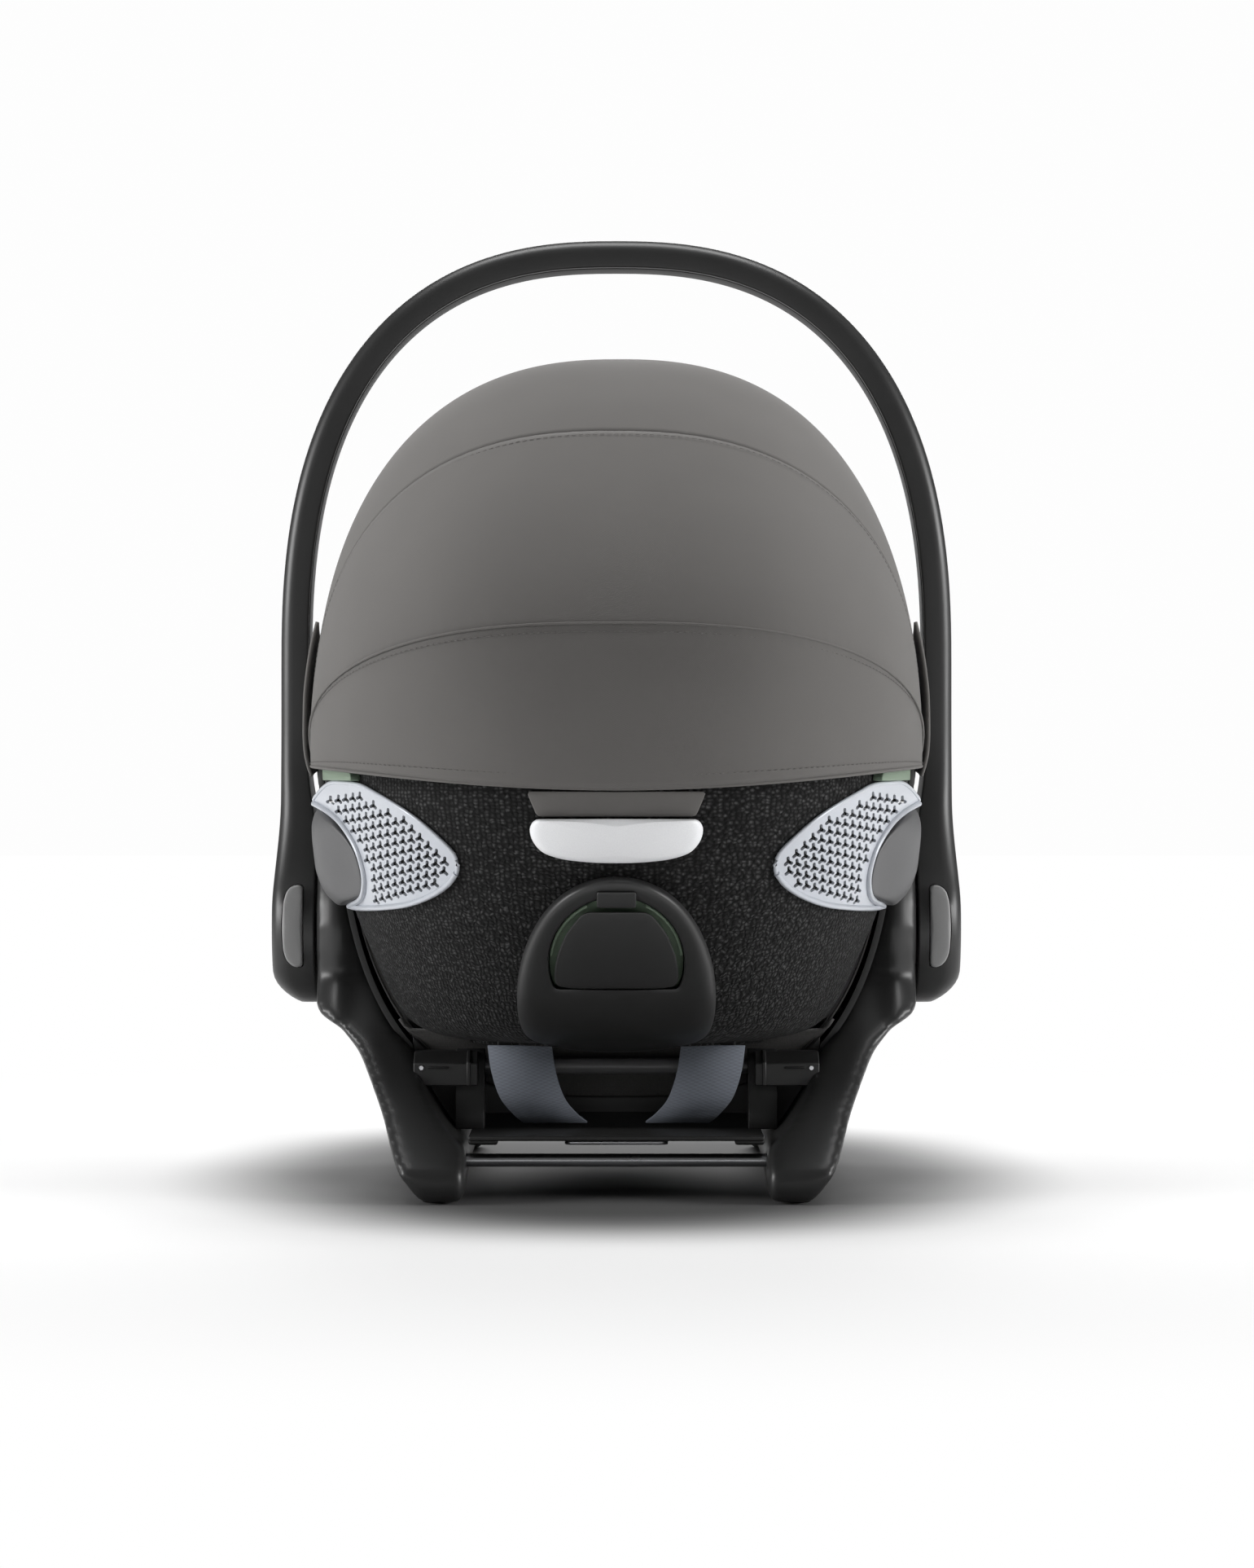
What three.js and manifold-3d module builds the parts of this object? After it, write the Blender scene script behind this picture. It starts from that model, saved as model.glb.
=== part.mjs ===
// Infant carrier car seat with a swinging carry handle, a folding sun canopy and a reclining back.
// Millimetres, +Z up. The back of the seat faces -Y, the child's feet face +Y, X runs across.
import * as THREE from 'three';
import { mergeVertices } from 'three/addons/utils/BufferGeometryUtils.js';
import Module from 'manifold-3d';

const wasm = await Module();
wasm.setup();

// Clearances
const GAP = 0.3;
const SLIDE_GAP = 0.6;
const OVERRUN = 60;
const SEAM_GAP = 0.5;

// Seat tub that holds the child's hips and legs
const TUB = {
  halfWidth: 178,
  wall: 4,
  floorHeight: 46,
  rearEdge: -96,
  frontReach: 336,
  blunt: 3,
  widestUntil: 80,
  floorFlatUntil: 60,
  sideTop: 310,
  toeHeight: 300,
  cutTop: 330,
};
const TUB_PLAN_FULLNESS = 2.6;
const TUB_SECTION_FULLNESS = 3;
const TUB_TOE_FULLNESS = 3;
// Rim line as shares of the tub's reach and of its side height
const TUB_RIM_SHARES = [
  [-0.4167, 0.6774], [-0.2887, 0.7], [-0.2202, 0.7194], [-0.05952, 0.7355], [0.1071, 0.7226],
  [0.2381, 0.671], [0.4167, 0.6548], [0.625, 0.7161], [0.8185, 0.8516], [0.9583, 0.9613], [1.19, 1.006],
];

// Floor pan that carries the recline mechanism behind the tub
const PAN = { halfWidth: 90, rear: -188, underside: 33, plate: 6, front: -80 };

// Runners, legs and pivot pods, one each side
const FRAME = {
  podRadius: 57,
  outer: 190,
  inner: 92,
  underside: 4.3,
  rockerLift: 9,
};
const PIVOT = { y: -15, z: 162 };
// Flare of a side frame seen from behind, as shares of its half-width and of the pivot's height
const FLARE_OUTER_SHARES = [
  [0.5947, 0], [0.6105, 0.018], [0.6395, 0.051], [0.684, 0.102], [0.716, 0.185], [0.7395, 0.272],
  [0.768, 0.352], [0.805, 0.438], [0.842, 0.525], [0.874, 0.571], [0.91, 0.617], [0.958, 0.648],
  [0.99, 0.673], [1, 0.708], [1, 1.42],
];
const FLARE_INNER_SHARES = [
  [0.7789, 1.42], [0.7789, 0.8148], [0.7053, 0.642], [0.6211, 0.3889],
  [0.5474, 0.2593], [0.4842, 0.1975], [0.4842, 0],
];
const FOOT = { rear: -190, front: 182, length: 36, width: 26, height: 4, inset: 5, corner: 8 };
const LATCH_BAR = { radius: 4, z: 23.5, rear: -170, front: 150, socket: 6 };

// Recline axis and its brackets
const AXIS = { y: -110, z: 77, tubeRadius: 5, tubeHalfLength: 119 };
const BRACKET = { inner: 82, outer: 100, boss: 11, foot: 22 };
const LUG = { inner: 60, outer: 74, boss: 11 };

// Reclining back shell
const SHELL = {
  halfWidth: 178,
  depth: 292,
  centre: -20,
  bottom: 90,
  height: 318,
  wall: 4,
  frontEdge: -102,
};
const SHELL_FULLNESS = 2.4;
const SHELL_SHARES = [
  [0, 0.562, 0.377], [0.025, 0.719, 0.497], [0.06, 0.787, 0.582], [0.145, 0.854, 0.702],
  [0.283, 0.944, 0.849], [0.393, 0.978, 0.938], [0.503, 1, 1], [0.66, 1, 1],
  [0.818, 0.966, 0.925], [0.912, 0.876, 0.863], [0.975, 0.702, 0.77], [1, 0.449, 0.616],
];
// Front edge of the shell's sides, as shares of its depth and of its top height
const SHELL_EAR_SHARES = [
  [-0.3493, 0.09804], [-0.3493, 0.5588], [-0.1164, 0.5882], [-0.08219, 0.652], [-0.1164, 0.7353],
  [-0.2534, 0.8431], [-0.4795, 0.9363], [-0.726, 0.9755], [-0.726, 1.078],
];

// Upholstery and trim on the outside of the back shell, as distances from the shell
const COVER = { low: GAP, high: 2.8, bottom: 97, top: 296 };
const PATCH = { low: 3.1, high: 5.5, bottom: 234.5, top: 247.5, topHalf: 52, bottomHalf: 46 };
const LEVER = { low: 6, high: 15, bottom: 207.5, top: 233, half: 50, corner: 12, footTop: 222, footHalf: 40 };
const GUIDE = { high: 19, top: 200, half: 60, widest: 132, bottom: 88, corner: 22, recess: 2 };
const GUIDE_MOUTH = { z: 147, radius: 40.5 };
const LINER = { low: 2.3, high: 4 };
const FLAP = {
  low: 14.2, high: 18.2, top: 178.5, topHalf: 18, half: 37, shoulder: 150, bottom: 131.5, corner: 6,
};
const TAB = { low: 15.4, high: 20.8, bottom: 181, top: 190.5, half: 11.5, travel: 4 };
const WING = { low: 3.2, thickness: 2.6, tipLow: 202, tipHigh: 207, rimLow: 179, rimHigh: 254, lift: 9 };
const PAD = { thickness: 6, low: 180, high: 246, lift: 3.4 };
const HOOK = { low: 3.2, thickness: 7, bottom: 256.5, top: 270 };

// Sun canopy, made as bows that turn about one side pivot
const HOOD = {
  y: -50,
  z: 265,
  sideRoom: 15,
  fabric: 2,
  bowThickness: 4,
  bowHalfAngle: 1.2,
  bowGap: 1.2,
  hubRadius: 13,
  eyeRim: 5,
  frontStep: 4.6,
};
const HOOD_HALF_WIDTH = SHELL.halfWidth + HOOD.sideRoom;
const HOOD_COLUMNS = 22;
// Angles of the canopy's edges and seams about its pivot, from level behind
const HEM_ANGLE = -3.1;
const REAR_SEAM_ANGLE = 16;
const MID_SEAM_ANGLE = 46;
const CROWN_ANGLE = 86;
const FRONT_EDGE_ANGLE = 118;
// At each angle, the canopy's reach as a share of the shell's depth, and its fullness
const HOOD_SHARES = [
  [HEM_ANGLE, 0.91918, 2.6],
  [REAR_SEAM_ANGLE, 1, 2.6],
  [MID_SEAM_ANGLE, 0.94521, 2.45],
  [CROWN_ANGLE, 0.88356, 2.42],
  [FRONT_EDGE_ANGLE, 0.91096, 2.4],
];
const HOOD_END_SHARE = 0.012 / Math.PI;

// Carry handle
const HANDLE = {
  inner: 198.5,
  thickness: 18,
  width: 36,
  straightTop: 330,
  rise: 265,
  trim: 6,
  trimWidth: 30,
  trimBottom: 236,
  hubInner: 192,
  hubOuter: 216.5,
  hubRadius: 50,
  capOuter: 220.5,
  capRadius: 30,
  corner: 5,
};
const HANDLE_FULLNESS = 2.5;
const PIN = { radius: 9, inner: 179, outer: 213 };
const BUTTON = { below: 28, above: 27, reach: 49, depth: 26, floorDepth: 14.2, thickness: 11.7 };

// Seat and back cushions
const SEAT = {
  clearance: 1, rear: -84, front: 176, top: 92, drop: 14, crown: 9, channel: 6, wing: 52, channelWidth: 8,
};
const BACK_PAD = {
  clearance: 1.7, thickness: 18, bottom: 104, top: 296, edge: 4, startAngle: 30, channel: 5,
};

// Headrest that slides along the back
const HEAD = {
  bottom: 194,
  top: 312,
  half: 100,
  depth: 84,
  standoff: 88,
  leanShare: 0.2,
  wall: 4,
  pad: 14,
  edge: 5,
  shoulderDrop: 26,
};
const RAIL = { half: 20, bottom: 190, top: 384, room: 2 };

// Harness
const STRAP = { width: 34, rearWidth: 40, thickness: 1.8, padWidth: 48, padThickness: 8 };
// Straps' routes as shares of the shell's half-width, depth and height
const SHOULDER_ROUTE_SHARES = [
  [0.2697, -0.7856, 0.5723], [0.2584, -0.6507, 0.4937], [0.2303, -0.5000, 0.4340],
  [0.1910, -0.3288, 0.3962], [0.1461, -0.1027, 0.4088], [0.1039, 0.1082, 0.5409],
];
const REAR_ROUTE_SHARES = [
  [0.3371, -0.4521, 0.2865], [0.3202, -0.4692, 0.2327],
  [0.2809, -0.4658, 0.1855], [0.2303, -0.4315, 0.1421],
];
const BUCKLE = { y: 34, bottom: 116, height: 44, width: 42, thickness: 17, button: 21, press: 4, corner: 7 };
const TONGUE = { width: 18, height: 16, thickness: 3, spacing: 11 };
const ADJUSTER = { y: 200, length: 36, width: 40, height: 15, button: 17, press: 3, seat: 2.8, corner: 5 };
const TAIL = { from: 214.6, to: 300, rise: 2.1 };
const YOKE = { half: 32, rear: -140, front: -112, thickness: 2.5, corner: 5 };

// Recline handle under the foot end
const RECLINE = {
  setback: 148, drop: 15.34, barrel: 6, half: 30, ear: 6, pin: 3, reach: 58, thickness: 8, slopeAngle: 27,
};

// A point of a superellipse with half-axes a and b, at parameter t
function superPoint(a, b, fullness, t) {
  const power = 2 / fullness;
  const c = Math.cos(t);
  const s = Math.sin(t);
  return [a * Math.sign(c) * Math.abs(c) ** power, b * Math.sign(s) * Math.abs(s) ** power];
}

// Straight interpolation in a table of rows whose first column rises
function lookUp(table, x, column = 1) {
  const last = table.length - 1;
  if (x <= table[0][0]) return table[0][column];
  if (x >= table[last][0]) return table[last][column];
  const i = table.findIndex((row) => row[0] >= x);
  const [low, high] = [table[i - 1], table[i]];
  return THREE.MathUtils.mapLinear(x, low[0], high[0], low[column], high[column]);
}

// Signed volume of an indexed geometry
function signedVolume(geometry) {
  const position = geometry.getAttribute('position');
  const index = geometry.index;
  const [a, b, c] = [new THREE.Vector3(), new THREE.Vector3(), new THREE.Vector3()];
  let volume = 0;
  for (let i = 0; i < index.count; i += 3) {
    a.fromBufferAttribute(position, index.getX(i));
    b.fromBufferAttribute(position, index.getX(i + 1));
    c.fromBufferAttribute(position, index.getX(i + 2));
    volume += a.dot(b.cross(c));
  }
  return volume;
}

// Indexed geometry with its faces pointing out
function closedGeometry(points, index) {
  const geometry = new THREE.BufferGeometry();
  const coordinates = points.flatMap((p) => p.toArray());
  geometry.setAttribute('position', new THREE.Float32BufferAttribute(coordinates, 3));
  geometry.setIndex(index);
  if (signedVolume(geometry) < 0) {
    const turned = [];
    for (let i = 0; i < index.length; i += 3) turned.push(index[i], index[i + 2], index[i + 1]);
    geometry.setIndex(turned);
  }
  geometry.computeVertexNormals();
  return geometry;
}

// Solid through rings of points, each ring convex and with as many points
function loft(rings) {
  const count = rings[0].length;
  const last = (rings.length - 1) * count;
  const index = [];
  for (let r = 0; r < rings.length - 1; r++) {
    for (let i = 0; i < count; i++) {
      const a = r * count + i;
      const b = r * count + ((i + 1) % count);
      index.push(a, b, b + count, a, b + count, a + count);
    }
  }
  for (let i = 1; i < count - 1; i++) {
    index.push(0, i + 1, i);
    index.push(last, last + i, last + i + 1);
  }
  return closedGeometry(rings.flat(), index);
}

// Solid between two matching grids of points
function slab(lower, upper) {
  const rows = lower.length;
  const columns = lower[0].length;
  const half = rows * columns;
  const at = (i, j) => i * columns + j;
  const index = [];
  for (let i = 0; i < rows - 1; i++) {
    for (let j = 0; j < columns - 1; j++) {
      const [a, b, c, d] = [at(i, j), at(i, j + 1), at(i + 1, j + 1), at(i + 1, j)];
      index.push(a, b, c, a, c, d);
      index.push(half + a, half + c, half + b, half + a, half + d, half + c);
    }
  }
  const wall = (a, b) => index.push(b, a, half + a, b, half + a, half + b);
  for (let j = 0; j < columns - 1; j++) {
    wall(at(0, j), at(0, j + 1));
    wall(at(rows - 1, j + 1), at(rows - 1, j));
  }
  for (let i = 0; i < rows - 1; i++) {
    wall(at(i + 1, 0), at(i, 0));
    wall(at(i, columns - 1), at(i + 1, columns - 1));
  }
  return closedGeometry([...lower.flat(), ...upper.flat()], index);
}

// Grid of points over two shares that each run from 0 to 1
function grid(rows, columns, place) {
  return Array.from({ length: rows + 1 }, (_, i) =>
    Array.from({ length: columns + 1 }, (_, j) => place(i / rows, j / columns)));
}

// Conversions to and from the boolean library
function toSolid(geometry) {
  const merged = mergeVertices(strip(geometry));
  return new wasm.Manifold(new wasm.Mesh({
    numProp: 3,
    vertProperties: new Float32Array(merged.getAttribute('position').array),
    triVerts: new Uint32Array(merged.index.array),
  }));
}

function strip(geometry) {
  const plain = geometry.clone();
  plain.deleteAttribute('normal');
  plain.deleteAttribute('uv');
  return plain;
}

function fromSolid(solid) {
  const mesh = solid.getMesh();
  const geometry = new THREE.BufferGeometry();
  const coordinates = new Float32Array(mesh.vertProperties);
  geometry.setAttribute('position', new THREE.BufferAttribute(coordinates, mesh.numProp));
  geometry.setIndex(new THREE.BufferAttribute(new Uint32Array(mesh.triVerts), 1));
  geometry.computeVertexNormals();
  return geometry;
}

function cut(body, ...tools) {
  return fromSolid(tools.reduce((solid, tool) => solid.subtract(toSolid(tool)), toSolid(body)));
}

function join(...bodies) {
  const [first, ...rest] = bodies.map(toSolid);
  return fromSolid(rest.reduce((solid, body) => solid.add(body), first));
}

function common(first, ...rest) {
  return fromSolid(rest.reduce((solid, body) => solid.intersect(toSolid(body)), toSolid(first)));
}

// Mirror image across the middle plane
function mirrored(geometry) {
  const copy = geometry.clone().applyMatrix4(new THREE.Matrix4().makeScale(-1, 1, 1));
  const index = Array.from(copy.index.array);
  for (let i = 0; i < index.length; i += 3) [index[i + 1], index[i + 2]] = [index[i + 2], index[i + 1]];
  copy.setIndex(index);
  copy.computeVertexNormals();
  return copy;
}

// Outlines and prisms
function outline(points) {
  return new THREE.Shape(points.map(([a, b]) => new THREE.Vector2(a, b)));
}

function roundedRectangle(a0, a1, b0, b1, radius) {
  const shape = new THREE.Shape();
  shape.moveTo(a0 + radius, b0);
  shape.lineTo(a1 - radius, b0);
  shape.absarc(a1 - radius, b0 + radius, radius, -Math.PI / 2, 0);
  shape.lineTo(a1, b1 - radius);
  shape.absarc(a1 - radius, b1 - radius, radius, 0, Math.PI / 2);
  shape.lineTo(a0 + radius, b1);
  shape.absarc(a0 + radius, b1 - radius, radius, Math.PI / 2, Math.PI);
  shape.lineTo(a0, b0 + radius);
  shape.absarc(a0 + radius, b0 + radius, radius, Math.PI, Math.PI * 1.5);
  return shape;
}

const ALONG_X = new THREE.Matrix4().makeBasis(
  new THREE.Vector3(0, 1, 0), new THREE.Vector3(0, 0, 1), new THREE.Vector3(1, 0, 0));
const ALONG_Y = new THREE.Matrix4().makeBasis(
  new THREE.Vector3(-1, 0, 0), new THREE.Vector3(0, 0, 1), new THREE.Vector3(0, 1, 0));

function prism(shape, from, to, turn, segments = 4) {
  const geometry = new THREE.ExtrudeGeometry(shape, {
    depth: to - from,
    bevelEnabled: false,
    curveSegments: segments,
  });
  geometry.translate(0, 0, from);
  if (turn) geometry.applyMatrix4(turn);
  return mergeVertices(strip(geometry));
}

// Round bar along X
function barX(radius, from, to, y, z, sides = 16) {
  const bar = new THREE.CylinderGeometry(radius, radius, to - from, sides);
  bar.rotateZ(Math.PI / 2);
  bar.translate((from + to) / 2, y, z);
  return mergeVertices(strip(bar));
}

// Box between two corners
function block(x0, x1, y0, y1, z0, z1) {
  const box = new THREE.BoxGeometry(x1 - x0, y1 - y0, z1 - z0);
  box.translate((x0 + x1) / 2, (y0 + y1) / 2, (z0 + z1) / 2);
  return mergeVertices(strip(box));
}

// Tub surface: half-width and floor height at a station along Y
function tubHalfWidth(y) {
  const share = Math.max(0, (y - TUB.widestUntil) / (TUB.frontReach - TUB.widestUntil));
  return TUB.halfWidth * (1 - share ** TUB_PLAN_FULLNESS) ** (1 / TUB_PLAN_FULLNESS);
}

function tubFloor(y) {
  const share = Math.max(0, (y - TUB.floorFlatUntil) / (TUB.frontReach - TUB.floorFlatUntil));
  return TUB.floorHeight + (TUB.toeHeight - TUB.floorHeight) * share ** TUB_TOE_FULLNESS;
}

// Closed body of the tub's outer form, grown by a margin
function tubBody(margin, from, to) {
  const stations = [from, TUB.floorFlatUntil - OVERRUN, TUB.widestUntil];
  const steps = 9;
  for (let i = 1; i <= steps; i++) {
    const share = Math.sin((i / steps) * Math.PI / 2);
    stations.push(TUB.widestUntil + (to - TUB.widestUntil) * share);
  }
  const rings = stations.map((y) => {
    const half = tubHalfWidth(y) + margin;
    const floor = tubFloor(y) - margin;
    const arc = Array.from({ length: 17 }, (_, i) => {
      const t = Math.PI + (i / 16) * Math.PI;
      const [x, z] = superPoint(half, TUB.sideTop - floor, TUB_SECTION_FULLNESS, t);
      return new THREE.Vector3(x, y, TUB.sideTop + z);
    });
    return [...arc, new THREE.Vector3(half, y, TUB.cutTop), new THREE.Vector3(-half, y, TUB.cutTop)];
  });
  return loft(rings);
}

function tubShell() {
  const tip = TUB.frontReach - TUB.blunt;
  const outer = tubBody(0, TUB.rearEdge, tip);
  const inner = tubBody(-TUB.wall, TUB.rearEdge - TUB.wall, tip - TUB.wall);
  const stations = TUB_RIM_SHARES.map(([y, z]) => new THREE.Vector2(y * TUB.frontReach, z * TUB.sideTop));
  const line = new THREE.SplineCurve(stations).getPoints(26);
  const top = TUB.cutTop + OVERRUN;
  const rim = new THREE.Shape([
    ...line,
    new THREE.Vector2(stations.at(-1).x, top),
    new THREE.Vector2(stations[0].x, top),
  ]);
  const reach = TUB.halfWidth + OVERRUN;
  const shell = cut(outer, inner, prism(rim, -reach, reach, ALONG_X));
  return join(shell, floorPan());
}

function floorPan() {
  const top = PAN.underside + PAN.plate;
  const shape = outline([
    [PAN.rear, PAN.underside],
    [AXIS.y, PAN.underside],
    [PAN.front, TUB.floorHeight + TUB.wall / 4],
    [PAN.front, TUB.floorHeight + TUB.wall * 3 / 4],
    [TUB.rearEdge, TUB.floorHeight + TUB.wall * 3 / 4],
    [AXIS.y, top],
    [PAN.rear, top],
  ]);
  return prism(shape, -PAN.halfWidth, PAN.halfWidth, ALONG_X);
}

// Side frame: side profile and flare profile crossed, less what it carries
function frameProfile() {
  const shape = new THREE.Shape();
  const rear = FOOT.rear - FOOT.length / 2 - FOOT.inset;
  const front = FOOT.front + FOOT.length / 2 + FOOT.inset;
  const low = FRAME.underside;
  shape.moveTo(rear + FOOT.inset, low);
  shape.lineTo(FOOT.rear + FOOT.length / 2, low);
  shape.quadraticCurveTo(FOOT.rear + FOOT.length, low + FRAME.rockerLift, 0, low + FRAME.rockerLift);
  shape.quadraticCurveTo(FOOT.front - FOOT.length, low + FRAME.rockerLift, FOOT.front - FOOT.length / 2, low);
  shape.lineTo(front - FOOT.inset, low);
  shape.quadraticCurveTo(front + FOOT.inset, low, front, low + FOOT.inset * 3);
  shape.quadraticCurveTo(front - FOOT.length, AXIS.z * 0.75, PIVOT.y + FRAME.podRadius * 1.6, AXIS.z * 1.1);
  shape.quadraticCurveTo(
    PIVOT.y + FRAME.podRadius * 1.1, AXIS.z * 1.3,
    PIVOT.y + FRAME.podRadius * Math.cos(0.35), PIVOT.z - FRAME.podRadius * Math.sin(0.35));
  shape.absarc(PIVOT.y, PIVOT.z, FRAME.podRadius, -0.35, Math.PI + 0.55);
  shape.quadraticCurveTo(AXIS.y + BRACKET.boss, AXIS.z * 1.2, AXIS.y - FOOT.length, AXIS.z * 0.85);
  shape.quadraticCurveTo(FOOT.rear, AXIS.z * 0.5, rear, low + FOOT.inset * 3);
  shape.quadraticCurveTo(rear - FOOT.inset / 2, low, rear + FOOT.inset, low);
  return shape;
}

function sideFrame() {
  const profile = prism(frameProfile(), FRAME.inner - OVERRUN, FRAME.outer + OVERRUN, ALONG_X, 7);
  const flarePoints = [...FLARE_OUTER_SHARES, ...FLARE_INNER_SHARES]
    .map(([x, z]) => [-x * FRAME.outer, z * PIVOT.z]);
  const flare = prism(outline(flarePoints), PAN.rear - OVERRUN, TUB.frontReach, ALONG_Y);
  const body = common(profile, flare);
  const sockets = [LATCH_BAR.rear, LATCH_BAR.front].map((y) => barX(
    LATCH_BAR.radius + GAP,
    FRAME.inner - LATCH_BAR.socket, FRAME.inner + LATCH_BAR.socket + GAP, y, LATCH_BAR.z));
  const tub = tubBody(GAP, TUB.rearEdge - OVERRUN, TUB.frontReach - TUB.blunt);
  const pinHole = barX(PIN.radius + GAP, PIN.inner - GAP, PIN.outer, PIVOT.y, PIVOT.z, 24);
  return cut(body, ...sockets, tub, pinHole);
}

function rubberFoot(y) {
  const x = FRAME.inner + FOOT.inset;
  const shape = roundedRectangle(x, x + FOOT.width, y - FOOT.length / 2, y + FOOT.length / 2, FOOT.corner);
  return prism(shape, 0, FOOT.height, null, 5);
}

function latchBar(y) {
  const end = FRAME.inner + LATCH_BAR.socket;
  return barX(LATCH_BAR.radius, -end, end, y, LATCH_BAR.z);
}

// Bracket that stands on the pan and holds the recline tube
function reclineBracket() {
  const foot = PAN.underside + PAN.plate + GAP;
  const shape = new THREE.Shape();
  shape.moveTo(AXIS.y - BRACKET.foot, foot);
  shape.lineTo(AXIS.y - GAP, foot);
  shape.lineTo(AXIS.y + BRACKET.boss, AXIS.z - BRACKET.foot);
  shape.lineTo(AXIS.y + BRACKET.boss, AXIS.z);
  shape.absarc(AXIS.y, AXIS.z, BRACKET.boss, 0, Math.PI);
  shape.lineTo(AXIS.y - BRACKET.foot, foot + BRACKET.boss);
  const body = prism(shape, BRACKET.inner, BRACKET.outer, ALONG_X, 8);
  const bore = barX(AXIS.tubeRadius + GAP, BRACKET.inner - GAP, BRACKET.outer + GAP, AXIS.y, AXIS.z);
  return cut(body, bore);
}

// Back shell surface: half-width and depth at a height
function shellWidth(z) {
  return SHELL.halfWidth * lookUp(SHELL_SHARES, (z - SHELL.bottom) / SHELL.height, 1);
}

function shellDepth(z) {
  return SHELL.depth * lookUp(SHELL_SHARES, (z - SHELL.bottom) / SHELL.height, 2);
}

// Point on the back shell at angle t from +X round the back, lifted off it
function shellPoint(t, z, lift) {
  const [x, y] = superPoint(shellWidth(z) + lift, shellDepth(z) + lift, SHELL_FULLNESS, t);
  return new THREE.Vector3(x, SHELL.centre - y, z);
}

// Closed body of the shell's outer form, grown by a margin
function shellBody(margin) {
  const count = 36;
  const ends = SHELL_SHARES.length - 1;
  const rings = SHELL_SHARES.map(([share], i) => {
    const z = SHELL.bottom + SHELL.height * share;
    const height = z + (i === 0 ? -margin : 0) + (i === ends ? margin : 0);
    return Array.from({ length: count }, (_, k) => {
      const point = shellPoint((k / count) * Math.PI * 2, z, margin);
      point.z = height;
      return point;
    });
  });
  return loft(rings);
}

// Everything between two distances from the shell, inside an outline seen from behind
function skin(low, high, shape, segments = 6) {
  const window = prism(shape, -SHELL.depth - OVERRUN, SHELL.frontEdge, ALONG_Y, segments);
  return cut(common(shellBody(high), window), shellBody(low));
}

function backShell() {
  const hull = join(shellBody(0), reclineLug(1), reclineLug(-1), hoodHub(1), hoodHub(-1));
  const top = SHELL.bottom + SHELL.height;
  const ear = SHELL_EAR_SHARES.map(([y, z]) => new THREE.Vector2(y * SHELL.depth, z * top));
  const front = new THREE.Shape([
    ...ear,
    new THREE.Vector2(TUB.frontReach, ear.at(-1).y),
    new THREE.Vector2(TUB.frontReach, ear[0].y),
  ]);
  const room = SHELL.halfWidth - SHELL.wall / 2;
  const reach = SHELL.halfWidth + OVERRUN;
  const opening = prism(front, -reach, reach, ALONG_X);
  const bore = barX(AXIS.tubeRadius + GAP, -LUG.outer - GAP, LUG.outer + GAP, AXIS.y, AXIS.z);
  const hollow = common(shellBody(-SHELL.wall), block(-room, room, -reach * 2, reach * 2, 0, reach * 2));
  const shaped = cut(hull, hollow, opening, bore);
  return join(shaped, headrestRail());
}

// Lug under the shell that turns on the recline tube
function reclineLug(side) {
  const shape = new THREE.Shape();
  const top = SHELL.bottom + LUG.boss;
  shape.moveTo(AXIS.y + LUG.boss, AXIS.z);
  shape.lineTo(SHELL.frontEdge - GAP, top);
  shape.lineTo(AXIS.y - LUG.boss * 2, top);
  shape.lineTo(AXIS.y - LUG.boss, AXIS.z);
  shape.absarc(AXIS.y, AXIS.z, LUG.boss, Math.PI, Math.PI * 2);
  const [from, to] = side > 0 ? [LUG.inner, LUG.outer] : [-LUG.outer, -LUG.inner];
  return prism(shape, from, to, ALONG_X, 6);
}

// Boss that the canopy bows turn on
function hoodHub(side) {
  const inner = SHELL.halfWidth - SHELL.wall;
  const outer = HOOD_HALF_WIDTH - HOOD.fabric - GAP;
  const [from, to] = side > 0 ? [inner, outer] : [-outer, -inner];
  return barX(HOOD.hubRadius, from, to, HOOD.y, HOOD.z, 20);
}

// Back plane of the headrest, which leans as it slides
function headrestBack(z) {
  return SHELL.centre - SHELL.depth + HEAD.standoff - HEAD.leanShare * (z - HEAD.bottom);
}

function headrestRail() {
  const rear = -SHELL.depth - OVERRUN;
  const shape = outline([
    [headrestBack(RAIL.bottom), RAIL.bottom],
    [headrestBack(RAIL.top), RAIL.top],
    [rear, RAIL.top],
    [rear, RAIL.bottom],
  ]);
  return common(prism(shape, -RAIL.half, RAIL.half, ALONG_X), shellBody(-SHELL.wall / 2));
}

// Trim on the outside of the back shell
function backCover() {
  const reach = SHELL.halfWidth + OVERRUN;
  const whole = skin(COVER.low, COVER.high, outline([
    [-reach, COVER.bottom], [reach, COVER.bottom], [reach, COVER.top], [-reach, COVER.top],
  ]));
  return cut(whole, prism(guideOutline(SEAM_GAP), -reach * 2, SHELL.frontEdge, ALONG_Y, 6));
}

function backPatch() {
  return skin(PATCH.low, PATCH.high, outline([
    [-PATCH.bottomHalf, PATCH.bottom], [PATCH.bottomHalf, PATCH.bottom],
    [PATCH.topHalf, PATCH.top], [-PATCH.topHalf, PATCH.top],
  ]));
}

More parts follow.
